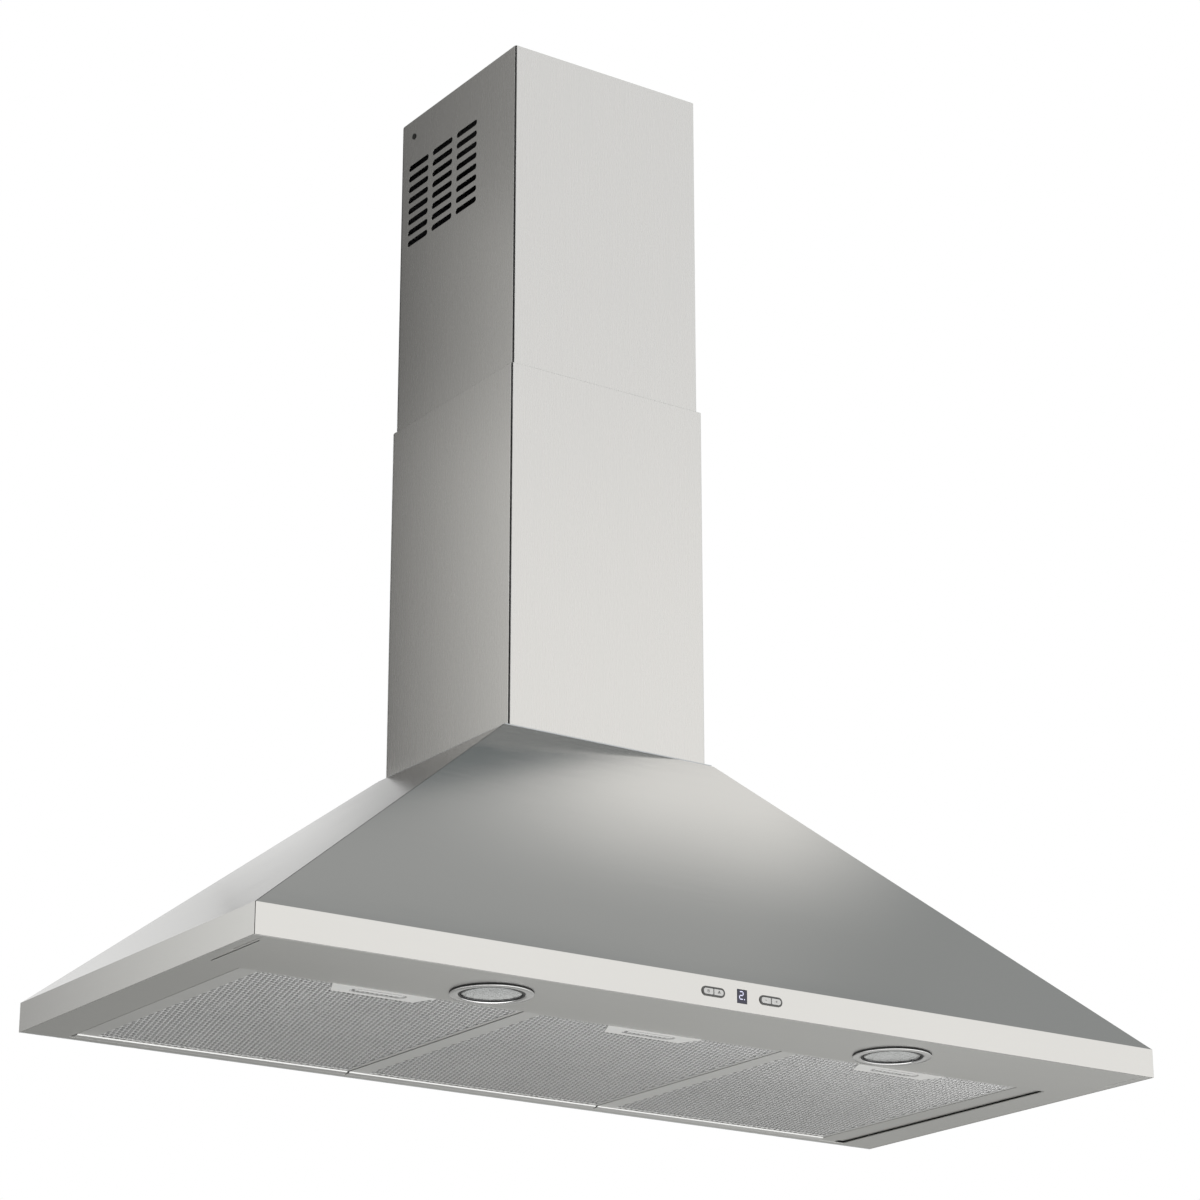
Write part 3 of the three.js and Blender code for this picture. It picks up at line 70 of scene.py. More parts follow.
camera_data = bpy.data.cameras.new("camera")
camera_data.lens = camera_lens
camera_data.clip_end = 100.0
camera = bpy.data.objects.new("camera", camera_data)
camera.location = camera_place
camera.rotation_euler = (math.radians(90 + camera_tilt), 0.0, math.radians(-camera_turn))
bpy.context.scene.collection.objects.link(camera)
bpy.context.scene.camera = camera
bpy.context.scene.view_settings.view_transform = "Standard"


# ------------------------------------------------------------------ studio
# A white room at a plain level, with a pale floor well below the hood. Brushed sheets show what
# stands opposite them, so cards that only reflections see give them their slow gradients.

class Value:
    """An output socket that can stand in a sum: each operator adds its Math node."""

    def __init__(self, sheet, socket):
        self.sheet = sheet
        self.socket = socket

    def __add__(self, other):
        return self.sheet.math("ADD", self, other)

    def __sub__(self, other):
        return self.sheet.math("SUBTRACT", self, other)

    def __rsub__(self, other):
        return self.sheet.math("SUBTRACT", other, self)

    def __mul__(self, other):
        return self.sheet.math("MULTIPLY", self, other)

    __radd__ = __add__
    __rmul__ = __mul__


class Sheet:
    """The node sheet of one material, or of the world."""

    def __init__(self, tree):
        self.tree = tree
        self.tree.nodes.clear()

    def node(self, kind, settings=None, inputs=None, output=0):
        """Adds a node: its settings first, then the values or links of its sockets."""
        made = self.tree.nodes.new(kind)
        for name, setting in (settings or {}).items():
            if name == "stops":
                ramp = made.color_ramp
                while len(ramp.elements) < len(setting):
                    ramp.elements.new(1.0)
                for element, (place, colour) in zip(ramp.elements, setting):
                    element.position = place
                    element.color = (*colour, 1.0)
            else:
                setattr(made, name, setting)
        for name, value in (inputs or {}).items():
            if isinstance(value, Value):
                self.tree.links.new(value.socket, made.inputs[name])
            else:
                made.inputs[name].default_value = value
        return Value(self, made.outputs[output]) if made.outputs else made

    def math(self, operation, a, b):
        return self.node("ShaderNodeMath", {"operation": operation}, {0: a, 1: b})

    def mix(self, share, a, b):
        """Colour a where share is 0 and colour b where it is 1."""
        a = a if isinstance(a, Value) else (*a, 1.0)
        b = b if isinstance(b, Value) else (*b, 1.0)
        return self.node("ShaderNodeMix", {"data_type": "RGBA"}, {0: share, 6: a, 7: b}, 2)

    def ramp(self, value, low, high):
        """0 where the value is low and 1 where it is high, with soft ends."""
        return self.node("ShaderNodeMapRange", {"interpolation_type": "SMOOTHSTEP"},
                         {"Value": value, "From Min": low, "From Max": high})


room_white = (1.0, 1.0, 1.0)
studio_world = bpy.data.worlds.new("studio")
studio_world.use_nodes = True
bpy.context.scene.world = studio_world
room = Sheet(studio_world.node_tree)
room_light = room.node("ShaderNodeBackground", None, {"Color": (*room_white, 1.0), "Strength": 1.0})
room.node("ShaderNodeOutputWorld", None, {"Surface": room_light})

floor_level = -1.80
floor_radius = 16.0
bpy.ops.object.select_all(action="DESELECT")
bpy.ops.mesh.primitive_circle_add(vertices=96, radius=floor_radius, fill_type="NGON",
                                  location=(0.0, 0.0, floor_level))
floor = bpy.context.object
floor.name = "floor"
floor_paint = bpy.data.materials.new("floor_paint")
floor_paint.use_nodes = True
floor_sheet = Sheet(floor_paint.node_tree)
floor_grain = floor_sheet.node("ShaderNodeTexNoise", None, {"Scale": 3.0, "Detail": 2.0})
floor_colour = floor_sheet.mix(floor_grain, (0.70, 0.70, 0.69), (0.74, 0.74, 0.73))
floor_shader = floor_sheet.node("ShaderNodeBsdfDiffuse", None, {"Color": floor_colour})
from_below = floor_sheet.node("ShaderNodeNewGeometry", output="Backfacing")
clear = floor_sheet.node("ShaderNodeBsdfTransparent")
floor_mix = floor_sheet.node("ShaderNodeMixShader", None, {0: from_below, 1: floor_shader, 2: clear})
floor_sheet.node("ShaderNodeOutputMaterial", None, {"Surface": floor_mix})
floor.data.materials.append(floor_paint)


def card(name, centre, facing, size, dark, light, share):
    """A flat card of the studio that only reflections see.

    It looks from its centre towards the facing point. Its tone lies between dark and light, by the
    share that the function gives for the place x, y, z on it.
    """
    turn = (Vector(facing) - Vector(centre)).to_track_quat("Z", "Y").to_euler()
    bpy.ops.object.select_all(action="DESELECT")
    bpy.ops.mesh.primitive_plane_add(size=1.0, location=centre, rotation=turn)
    plane = bpy.context.object
    plane.scale = (size[0], size[1], 1.0)
    bpy.ops.object.transform_apply(location=True, rotation=True, scale=True)
    plane.name = name
    plane.visible_camera = False
    plane.visible_diffuse = False
    plane.visible_transmission = False
    plane.visible_shadow = False
    paint = bpy.data.materials.new(name)
    paint.use_nodes = True
    sheet = Sheet(paint.node_tree)
    place = sheet.node("ShaderNodeTexCoord", output=3)
    x, y, z = (sheet.node("ShaderNodeSeparateXYZ", None, {0: place}, axis) for axis in range(3))
    tone = sheet.mix(share(sheet, x, y, z), dark, light)
    glow = sheet.node("ShaderNodeEmission", None, {"Color": tone, "Strength": 1.0})
    sheet.node("ShaderNodeOutputMaterial", None, {"Surface": glow})
    plane.data.materials.append(paint)


def ceiling_share(sheet, x, y, z):
    """What the canopy front shows: a light patch, and a dark wedge next to the chimney cover.

    The front zone is what the cover shows to the canopy. Towards its edges the card turns as
    white as the room.
    """
    patch = sheet.ramp(x, 1.95, 2.70) * sheet.ramp(x, 3.60, 2.95) * sheet.ramp(y, -0.24, 0.05)
    even = 0.80 + sheet.ramp(x, 3.5, 2.9) * 0.20
    wedge = sheet.ramp(y - x * 0.324, -0.755, -0.735) * sheet.ramp(y, 0.75, 0.55)
    front = (sheet.ramp(x, 1.40, 1.80) * sheet.ramp(x, 3.60, 3.10)
             * sheet.ramp(y, -2.1, -1.7) * sheet.ramp(y, -0.36, -0.50))
    tone = (patch * 0.48 + even * 0.345) * (1.0 - wedge) * (1.0 - front) + wedge * 0.12
    inside = (sheet.ramp(x, 0.2, 1.5) * sheet.ramp(x, 5.8, 4.6)
              * sheet.ramp(y, -2.1, -0.9) * sheet.ramp(y, 1.9, 0.9))
    return tone * inside + (1.0 - inside) * 0.8


def left_share(sheet, x, y, z):
    """Light in front and dark towards the wall, and a little darker high up, but not at the top."""
    across = (x + 0.344) * 0.824 + (y - 0.244) * 0.565
    near = sheet.ramp(across, 0.20, -0.20)
    low = 1.0 - sheet.ramp(z, 0.48, 0.66) * 0.28
    top = sheet.ramp(z, 0.74, 0.90) * 0.6
    return near * low * (1.0 - top) + top * 0.20


def right_share(sheet, x, y, z):
    """What the chimney shows low down on its left: light below, and lighter away from the wall."""
    across = x * 0.847 - y * 0.532
    return sheet.ramp(z, 0.54, 0.34) * (0.7 + sheet.ramp(across, -0.40, -0.22) * 0.3)


def rim_share(sheet, x, y, z):
    """Light for the front end of the left rim and darker for its wall end."""
    across = (x + 0.882) * 0.829 + (y - 0.44) * 0.559
    return sheet.ramp(across, 0.45, -0.45)


def under_share(sheet, x, y, z):
    """What the underside panel shows: a little lighter in the middle."""
    return sheet.ramp(x, 0.10, 0.95) * sheet.ramp(x, 2.1, 1.1)


def low_share(sheet, x, y, z):
    """What the mesh shows: lightest below the middle filter. The rails show the even front part."""
    near = sheet.ramp(y, -0.35, -0.15)
    middle = sheet.ramp(x, -0.45, 0.15) * sheet.ramp(x, 0.80, 0.35)
    return near * (0.30 + middle * 0.70) + (1.0 - near) * 0.55


def even_share(sheet, x, y, z):
    """The light tone all over."""
    return sheet.ramp(z, -10.0, -9.0)


card("ceiling_card", centre=(3.0, -0.10, 4.0), facing=(3.0, -0.10, 0.0), size=(6.0, 4.2),
     dark=(0.04, 0.065, 0.075), light=(1.24, 1.22, 1.19), share=ceiling_share)
card("left_card", centre=(-0.364, 0.230, 0.72), facing=(-0.105, -0.148, 0.72), size=(0.55, 1.1),
     dark=(0.02, 0.02, 0.02), light=(0.99, 0.98, 0.955), share=left_share)
card("rim_card", centre=(-0.882, 0.44, -0.09), facing=(-0.342, -0.36, -0.09), size=(1.1, 0.72),
     dark=(0.31, 0.31, 0.305), light=(1.42, 1.42, 1.40), share=rim_share)
card("right_card", centre=(0.28, 0.73, 0.42), facing=(-0.21, -0.05, 0.42), size=(0.9, 0.6),
     dark=(0.25, 0.25, 0.25), light=(1.06, 1.06, 1.055), share=right_share)
card("under_card", centre=(1.0, 1.30, -0.60), facing=(1.0, 1.30, 0.0), size=(3.0, 2.6),
     dark=(0.29, 0.29, 0.28), light=(0.52, 0.52, 0.505), share=under_share)
card("front_card", centre=(2.1, -3.4, 1.0), facing=(0.0, -0.3, 0.1), size=(3.2, 1.6),
     dark=(1.0, 1.0, 1.0), light=(1.16, 1.15, 1.13), share=even_share)
card("low_card", centre=(1.2, -0.70, -1.6), facing=(1.2, -0.70, 0.0), size=(3.6, 4.2),
     dark=(0.7, 0.7, 0.7), light=(2.5, 2.5, 2.48), share=low_share)
card("joint_card", centre=(0.24, 0.73, 0.98), facing=(-0.105, -0.10, 0.33), size=(0.9, 0.42),
     dark=(0.0, 0.0, 0.0), light=(0.05, 0.05, 0.05), share=even_share)
card("back_card", centre=(1.7, 2.7, -0.36), facing=(1.7, 0.0, -0.36), size=(4.6, 0.62),
     dark=(0.0, 0.0, 0.0), light=(0.12, 0.12, 0.12), share=even_share)
card("edge_card", centre=(-1.40, -1.05, 0.75), facing=(-0.105, -0.21, 0.2), size=(3.4, 2.5),
     dark=(0.0, 0.0, 0.0), light=(0.01, 0.01, 0.01), share=even_share)

# ------------------------------------------------------------------ canopy
# A front sheet and two side sheets of 1 mm brushed stainless steel, folded at the rim and welded
# along the hips, where a thin dark line stays. The grain runs along the hood.

steel_colour = (0.66, 0.655, 0.64)
steel_shade = (0.62, 0.615, 0.60)
steel_roughness = 0.27
grain_stretch = 0.012
scratch_depth = 0.0000026
front_sway = 0.00003
side_sway = 0.00012
hip_bevel = 0.0005
merge_reach = 1e-6
flat_angle = 0.5
smooth_angle = 35


class Finish(Sheet):
    """A material whose last node is a Principled shader."""

    def __init__(self, name):
        self.material = bpy.data.materials.new(name)
        self.material.use_nodes = True
        super().__init__(self.material.node_tree)
        self.place = self.node("ShaderNodeTexCoord", output=3)

    def noise(self, scale, stretch=(1, 1, 1), detail=2.0, rough=0.5, shift=(0, 0, 0)):
        """Noise of that many grains a metre, from 0 to 1, stretched along an axis by a small share."""
        mapping = self.node("ShaderNodeMapping", None, {
            "Vector": self.place, "Scale": stretch, "Location": shift})
        return self.node("ShaderNodeTexNoise", None, {
            "Vector": mapping, "Scale": scale, "Detail": detail, "Roughness": rough})

    def bump(self, height, distance, strength=1.0, normal=None):
        inputs = {"Height": height, "Distance": distance, "Strength": strength}
        if normal:
            inputs["Normal"] = normal
        return self.node("ShaderNodeBump", None, inputs)

    def done(self, **inputs):
        sockets = {}
        for name, value in inputs.items():
            if isinstance(value, tuple) and len(value) == 3:
                value = (*value, 1.0)
            sockets[name.replace("_", " ")] = value
        shader = self.node("ShaderNodeBsdfPrincipled", None, sockets)
        self.node("ShaderNodeOutputMaterial", None, {"Surface": shader})
        return self.material


def brushed(name, grain, wave=0.0, colour=steel_colour, shade=steel_shade, rough=steel_roughness):
    """Brushed sheet. grain is the axis that the scratches run along, wave the sheet's unevenness."""
    finish = Finish(name)
    along = [1.0, 1.0, 1.0]
    along["XYZ".index(grain)] = grain_stretch
    scratch = finish.noise(1500.0, along, 2.0, 0.6)
    streak = finish.noise(210.0, along, 2.0, 0.5, (3.0, 5.0, 7.0))
    cloud = finish.noise(4.0, (1, 1, 1), 2.0, 0.5, (11.0, 2.0, 4.0))
    tone = scratch * 0.5 + streak * 0.2 + cloud * 0.30
    normal = finish.bump(scratch, scratch_depth)
    if wave:
        sway = finish.noise(9.0, (1, 1, 1), 1.0, 0.4, (1.0, 8.0, 3.0))
        normal = finish.bump(sway, wave, 1.0, normal)
    return finish.done(
        Base_Color=finish.mix(tone, shade, colour),
        Metallic=1.0,
        Roughness=rough - 0.05 + tone * 0.10,
        Normal=normal)


def only(*objects):
    bpy.ops.object.select_all(action="DESELECT")
    for item in objects:
        item.select_set(True)
    bpy.context.view_layer.objects.active = objects[-1]


def apply_all(piece):
    only(piece)
    for modifier in list(piece.modifiers):
        bpy.ops.object.modifier_apply(modifier=modifier.name)


def smooth_shaded(piece, angle=smooth_angle):
    """Round parts smooth, edges over the angle sharp, and flat faces truly flat."""
    only(piece)
    bpy.ops.object.shade_smooth_by_angle(angle=math.radians(angle))
    normals = piece.modifiers.new("normals", "WEIGHTED_NORMAL")
    normals.keep_sharp = True
    normals.weight = 100
    apply_all(piece)


def bevelled(piece, width, segments=2, angle=40):
    edge = piece.modifiers.new("edge", "BEVEL")
    edge.width = width
    edge.segments = segments
    edge.limit_method = "ANGLE"
    edge.angle_limit = math.radians(angle)
    apply_all(piece)


def dress(node, material, bevel=0.0003, segments=2):
    """The CAD node as a finished piece: flat faces in one, edges broken, round faces smooth."""
    source = frame["nodes"][node]
    piece = bpy.data.objects.new(node + "_finished", source.data.copy())
    bpy.context.scene.collection.objects.link(piece)
    only(piece)
    bpy.ops.object.mode_set(mode="EDIT")
    bpy.ops.mesh.select_all(action="SELECT")
    bpy.ops.mesh.remove_doubles(threshold=merge_reach)
    bpy.ops.mesh.dissolve_limited(angle_limit=math.radians(flat_angle))
    bpy.ops.object.mode_set(mode="OBJECT")
    if bevel:
        bevelled(piece, bevel, segments, 30)
    smooth_shaded(piece)
    piece.data.materials.clear()
    piece.data.materials.append(material)
    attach(piece, source["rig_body"])
    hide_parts(node)
    return piece


canopy_steel = brushed("canopy_steel", "X", wave=front_sway, rough=0.07)
canopy_side_steel = brushed("canopy_side_steel", "Y", wave=side_sway, rough=0.17)
dress("canopy_front_sheet", canopy_steel, hip_bevel, 3)
dress("canopy_left_sheet", canopy_side_steel, hip_bevel, 3)
dress("canopy_right_sheet", canopy_side_steel, hip_bevel, 3)

# ------------------------------------------------------------------ back plate and top plate
# Plain zinc-coated sheet that is never seen once the hood hangs: the back plate lies on the wall
# and drops over two hooks, and the top plate carries the blower outlet and the chimney cover.

def zinc(name, colour=(0.60, 0.62, 0.63), shade=(0.47, 0.49, 0.51)):
    """Hot-dip galvanised sheet: flat crystals, each its own grey, with a dull shine."""
    finish = Finish(name)
    crystal = finish.node("ShaderNodeTexVoronoi", {"feature": "F1"}, {
        "Vector": finish.place, "Scale": 110.0, "Randomness": 1.0}, 1)
    grey = finish.node("ShaderNodeSeparateColor", None, {"Color": crystal})
    cloud = finish.noise(9.0, (1, 1, 1), 3.0)
    tone = grey * 0.6 + cloud * 0.4
    return finish.done(
        Base_Color=finish.mix(tone, shade, colour),
        Metallic=0.85,
        Roughness=0.38 + tone * 0.16,
        Normal=finish.bump(cloud, 0.0004))


zinc_sheet = zinc("zinc_sheet")
dress("canopy_back_plate", zinc_sheet, 0.0002)
dress("canopy_top_plate", zinc_sheet, 0.0002)

# ------------------------------------------------------------------ underside panel
# One brushed sheet let in between the rims, with a narrow gap to the front rim and a short slit
# near its left front corner. It frames the three filters and carries both lamps.

mm = 0.001
underside_steel = brushed("underside_steel", "X", colour=(0.62, 0.62, 0.605), shade=(0.55, 0.55, 0.535),
                          rough=0.33)
panel_opening_left = -411.0 * mm
panel_opening_front = -305.0 * mm
panel_opening_back = -5.0 * mm
panel_lip_reach = 3.2 * mm
panel_lip_wall = 1.3 * mm
panel_edge_wall = 0.4 * mm
panel_seam = 0.8 * mm
panel_slit_centre = (-436.7 * mm, -346.5 * mm)
panel_slit_size = (1.2 * mm, 75.0 * mm)
panel_slit_depth = 10.0 * mm


def pick(piece, test):
    """Edit mode, with only the corners selected whose place passes the test."""
    only(piece)
    bpy.ops.object.mode_set(mode="EDIT")
    bpy.ops.mesh.select_mode(type="VERT")
    bpy.ops.mesh.select_all(action="DESELECT")
    bpy.ops.object.mode_set(mode="OBJECT")
    for corner in piece.data.vertices:
        corner.select = test(corner.co)
    bpy.ops.object.mode_set(mode="EDIT")


def shift_part(piece, test, step):
    """Moves the corners that pass the test by the step."""
    pick(piece, test)
    bpy.ops.transform.translate(value=step)
    bpy.ops.object.mode_set(mode="OBJECT")


def block(centre, size, turn=(0.0, 0.0, 0.0)):
    """A plain block, as the start of a piece or as a cutter."""
    bpy.ops.object.select_all(action="DESELECT")
    bpy.ops.mesh.primitive_cube_add(size=1.0, location=centre, scale=size, rotation=turn)
    bpy.ops.object.transform_apply(location=True, rotation=True, scale=True)
    return bpy.context.object


def cut_out(piece, cutter):
    """Takes the cutter's shape out of the piece, and the cutter away."""
    hole = piece.modifiers.new("hole", "BOOLEAN")
    hole.operation = "DIFFERENCE"
    hole.solver = "EXACT"
    hole.object = cutter
    apply_all(piece)
    bpy.data.objects.remove(cutter, do_unlink=True)


def on_opening_lip(place):
    along = panel_opening_front < place.y < panel_opening_back
    return abs(place.x - panel_opening_left) < panel_lip_wall and along


panel = dress("underside_panel", underside_steel)
panel_low, panel_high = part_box("underside_panel")
shift_part(panel, on_opening_lip, (panel_lip_reach, 0, 0))
shift_part(panel, lambda place: place.y < panel_low.y + panel_edge_wall, (0, panel_seam, 0))
cut_out(panel, block((*panel_slit_centre, panel_low.z), (*panel_slit_size, panel_slit_depth)))
smooth_shaded(panel)
dress("filter_filler_strip", underside_steel, 0.0002)

# ------------------------------------------------------------------ filter cassettes
# Each cassette is a pressed aluminium tray with a rounded rail along its back edge and a face plate
# with a finger slot in front. Its window is filled with layers of expanded aluminium mesh.

def rolled_aluminium(name, grain, colour=(0.68, 0.68, 0.67), shade=(0.60, 0.60, 0.59), rough=0.34,
                     metal=0.95):
    finish = Finish(name)
    along = [1.0, 1.0, 1.0]
    along["XYZ".index(grain)] = 0.02
    line = finish.noise(300.0, along, 2.0, 0.6)
    cloud = finish.noise(14.0, (1, 1, 1), 2.0, 0.5, (2.0, 9.0, 1.0))
    tone = line * 0.5 + cloud * 0.5
    return finish.done(
        Base_Color=finish.mix(tone, shade, colour),
        Metallic=metal,
        Roughness=rough + tone * 0.08,
        Normal=finish.bump(line, 0.00001))


hair = 0.01 * mm
strand_pitch_x = 4.4 * mm
strand_pitch_y = 15.0 * mm
strand_width = 0.95 * mm
strand_flatness = 0.45
knuckle_radius = 1.25 * mm
knuckle_tip = 0.3
knuckle_rise = 0.5 * mm
knuckle_stretch = 2.3
lattice_height = -199.35 * mm
lattice_overlap = 0.8 * mm


def in_a_row(piece, count, step):
    """Repeats the piece along the step."""
    row = piece.modifiers.new("row", "ARRAY")
    row.count = count
    row.use_relative_offset = False
    row.use_constant_offset = True
    row.constant_offset_displace = step
    apply_all(piece)


def expanded_sheet(low, high, height):
    """A flat lattice of diamonds: a grid parted crosswise, without its own lines, and with knuckles."""
    width = high[0] - low[0]
    depth = high[1] - low[1]
    columns = round(width / strand_pitch_x)
    rows = round(depth / strand_pitch_y)
    bpy.ops.object.select_all(action="DESELECT")
    bpy.ops.mesh.primitive_grid_add(
        x_subdivisions=columns, y_subdivisions=rows, size=1.0,
        location=((low[0] + high[0]) / 2, (low[1] + high[1]) / 2, height))
    piece = bpy.context.object
    bpy.ops.transform.resize(value=(width, depth, 1.0))
    bpy.ops.object.transform_apply(location=True, rotation=True, scale=True)
    bpy.ops.object.mode_set(mode="EDIT")
    bpy.ops.mesh.select_mode(type="EDGE")
    bpy.ops.mesh.select_all(action="SELECT")
    bpy.ops.mesh.poke()
    bpy.ops.mesh.select_all(action="DESELECT")
    bpy.ops.object.mode_set(mode="OBJECT")
    corners = piece.data.vertices
    for line in piece.data.edges:
        start, end = (corners[i].co for i in line.vertices)
        across = abs(start.x - end.x) < hair or abs(start.y - end.y) < hair
        middle = (start + end) / 2
        inside = (low[0] + hair < middle.x < high[0] - hair
                  and low[1] + hair < middle.y < high[1] - hair)
        line.select = across and inside
    bpy.ops.object.mode_set(mode="EDIT")
    bpy.ops.mesh.dissolve_edges(use_verts=False)
    bpy.ops.object.mode_set(mode="OBJECT")
    strand = piece.modifiers.new("strand", "WIREFRAME")
    strand.thickness = strand_width
    strand.use_even_offset = False
    strand.use_boundary = True
    apply_all(piece)
    bpy.ops.transform.resize(value=(1, 1, strand_flatness), center_override=(0, 0, height))
    rows_of_knuckles = []
    for shift, fewer in ((0.0, 1), (0.5, 0)):
        start = (low[0] + (1.0 - shift) * strand_pitch_x, low[1] + (1.0 - shift) * strand_pitch_y, height)
        bpy.ops.object.select_all(action="DESELECT")
        bpy.ops.mesh.primitive_cone_add(
            vertices=6, radius1=knuckle_radius, radius2=knuckle_radius * knuckle_tip, depth=knuckle_rise,
            location=start, rotation=(math.radians(180), 0, 0), scale=(1.0, knuckle_stretch, 1.0))
        knuckle = bpy.context.object
        bpy.ops.object.transform_apply(location=True, rotation=True, scale=True)
        in_a_row(knuckle, columns - fewer, (width / columns, 0, 0))
        in_a_row(knuckle, rows - fewer, (0, depth / rows, 0))
        rows_of_knuckles.append(knuckle)
    only(*rows_of_knuckles, piece)
    bpy.ops.object.join()
    return piece


crimp_pitch = 6.1 * mm
crimp_hole = (3.4 * mm, 2.8 * mm)
crimp_depth = 4.4 * mm
crimp_height = 0.4 * mm
crimp_hole_depth = 2.0 * mm


def crimped_edge(left, right, back):
    """The edge of the sheet metal along the rail, with a row of small square holes."""
    middle_y = back - crimp_depth / 2
    edge = block(((left + right) / 2, middle_y, lattice_height), (right - left, crimp_depth, crimp_height))
    hole = block((left + crimp_pitch, middle_y, lattice_height), (*crimp_hole, crimp_hole_depth))
    in_a_row(hole, int((right - left) / crimp_pitch) - 1, (crimp_pitch, 0, 0))
    cut_out(edge, hole)
    return edge


patch_front_half = 47.5 * mm
patch_back_half = 37.5 * mm
patch_reach = 21.0 * mm
patch_top = -199.7 * mm
patch_bottom = -200.75 * mm
patch_slot_length = 52.0 * mm
patch_slot_width = 11.5 * mm
patch_slot_setback = 5.0 * mm
patch_cutter_depth = 6.0 * mm
patch_edge = 0.2 * mm
slot_sides = 28


def round_bar(centre, radius, depth, sides, turn=(0.0, 0.0, 0.0)):
    bpy.ops.object.select_all(action="DESELECT")
    bpy.ops.mesh.primitive_cylinder_add(
        vertices=sides, radius=radius, depth=depth, location=centre, rotation=turn)
    bpy.ops.object.transform_apply(location=True, rotation=True, scale=True)
    return bpy.context.object


def long_round(centre, length, width, depth, sides, turn=(0.0, 0.0, 0.0), axis=0):
    """A block with round ends: a round bar whose halves are parted along X (0) or Y (1)."""
    piece = round_bar(centre, width / 2, depth, sides, turn)
    for side in (-1, 1):
        step = [0.0, 0.0, 0.0]
        step[axis] = side * (length - width) / 2
        shift_part(piece, lambda place: side * (place[axis] - centre[axis]) > hair, step)
    return piece


def patch_plate(middle, front):
    """The face plate of the latch: a shallow trapezoid with the finger slot, a little proud."""
    height = (patch_top + patch_bottom) / 2
    plate = block((middle, front + patch_reach / 2, height),
                  (2 * patch_front_half, patch_reach, patch_top - patch_bottom))
    pick(plate, lambda place: place.y > front + patch_reach / 2)
    bpy.ops.transform.resize(value=(patch_back_half / patch_front_half, 1, 1),
                             center_override=(middle, 0, 0))
    bpy.ops.object.mode_set(mode="OBJECT")
    slot_place = (middle, front + patch_slot_setback + patch_slot_width / 2, height)
    cut_out(plate, long_round(
        slot_place, patch_slot_length, patch_slot_width, patch_cutter_depth, slot_sides))
    bevelled(plate, patch_edge)
    return plate


def copy_of(model, step):
    """A copy of the modelled piece with its own mesh, moved by the step."""
    only(model)
    bpy.ops.object.duplicate()
    bpy.ops.transform.translate(value=step)
    return bpy.context.object


def discard(*models):
    for model in models:
        bpy.data.objects.remove(model, do_unlink=True)


def settle(piece, name, material, body, slot, *nodes, smooth=smooth_angle):
    """The finished piece: its place goes into its mesh, and it gets its name, finish and body."""
    only(piece)
    bpy.ops.object.transform_apply(location=True, rotation=True, scale=True)
    smooth_shaded(piece, smooth)
    piece.name = name
    piece.data.name = name
    piece.data.materials.clear()
    piece.data.materials.append(material)
    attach(piece, body)
    if nodes:
        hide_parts(*nodes)
    return piece


frame_aluminium = rolled_aluminium("frame_aluminium", "X")
strand_aluminium = rolled_aluminium(
    "strand_aluminium", "Y", (0.88, 0.88, 0.88), (0.74, 0.74, 0.74), 0.40, 0.75)
patch_aluminium = rolled_aluminium(
    "patch_aluminium", "X", (0.80, 0.80, 0.79), (0.72, 0.72, 0.71), 0.40, 0.35)
# The pad is light on its strands and painted near-black inside its cells: the dark cells are painted shade
# for the depth between the mesh layers.
pad_finish = Finish("pad_aluminium")
pad_layers = pad_finish.node("ShaderNodeTexVoronoi", {"feature": "DISTANCE_TO_EDGE"}, {
    "Vector": pad_finish.place, "Scale": 380.0})
pad_cloud = pad_finish.noise(25.0, (1, 1, 1), 3.0)
pad_strands_and_hole_shade = pad_finish.node("ShaderNodeMapRange", None, {
    "Value": pad_layers, "From Min": 0.05, "From Max": 0.22})
pad_aluminium = pad_finish.done(
    Base_Color=pad_finish.mix(pad_strands_and_hole_shade * 0.8 + pad_cloud * 0.2, (0.52, 0.52, 0.52), (0.13, 0.13, 0.132)),
    Metallic=0.8,
    Roughness=0.42 + pad_cloud * 0.1,
    Normal=pad_finish.bump(pad_strands_and_hole_shade, 0.0008))

frame_side_lip = 17.0 * mm
frame_narrow_lip = 2.5 * mm
frame_lip_wall = 0.5 * mm
frame_rail = 10.0 * mm
frame_gap = 1.0 * mm
filter_places = ("left", "centre", "right")
first_low, first_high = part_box("filter_frame_left")
first_middle = (first_low.x + first_high.x) / 2
window_left = first_low.x + frame_side_lip
window_right = first_high.x - frame_narrow_lip - frame_gap
window_front = first_low.y + frame_narrow_lip
window_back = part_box("filter_mesh_left")[1].y - frame_rail + lattice_overlap
lattice = expanded_sheet(
    (window_left, window_front), (window_right, window_back - crimp_depth), lattice_height)
crimp = crimped_edge(window_left, window_right, window_back)
patch = patch_plate(first_middle, first_low.y)
for place in filter_places:
    low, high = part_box("filter_frame_" + place)
    tray = dress("filter_frame_" + place, frame_aluminium, 0.00025)
    lip = high.x - frame_narrow_lip - frame_lip_wall
    shift_part(tray, lambda co: co.x > lip, (-frame_gap, 0, 0))
    smooth_shaded(tray)
    dress("filter_mesh_" + place, pad_aluminium, 0.0)
    for part, model, finish, slot in (("weave", lattice, strand_aluminium, "filter_mesh"),
                                      ("crimp", crimp, frame_aluminium, "aluminium"),
                                      ("patch", patch, patch_aluminium, "aluminium")):
        piece = copy_of(model, low - first_low)
        settle(piece, f"filter_{part}_{place}", finish, "filter_" + place, slot)
discard(lattice, crimp, patch)
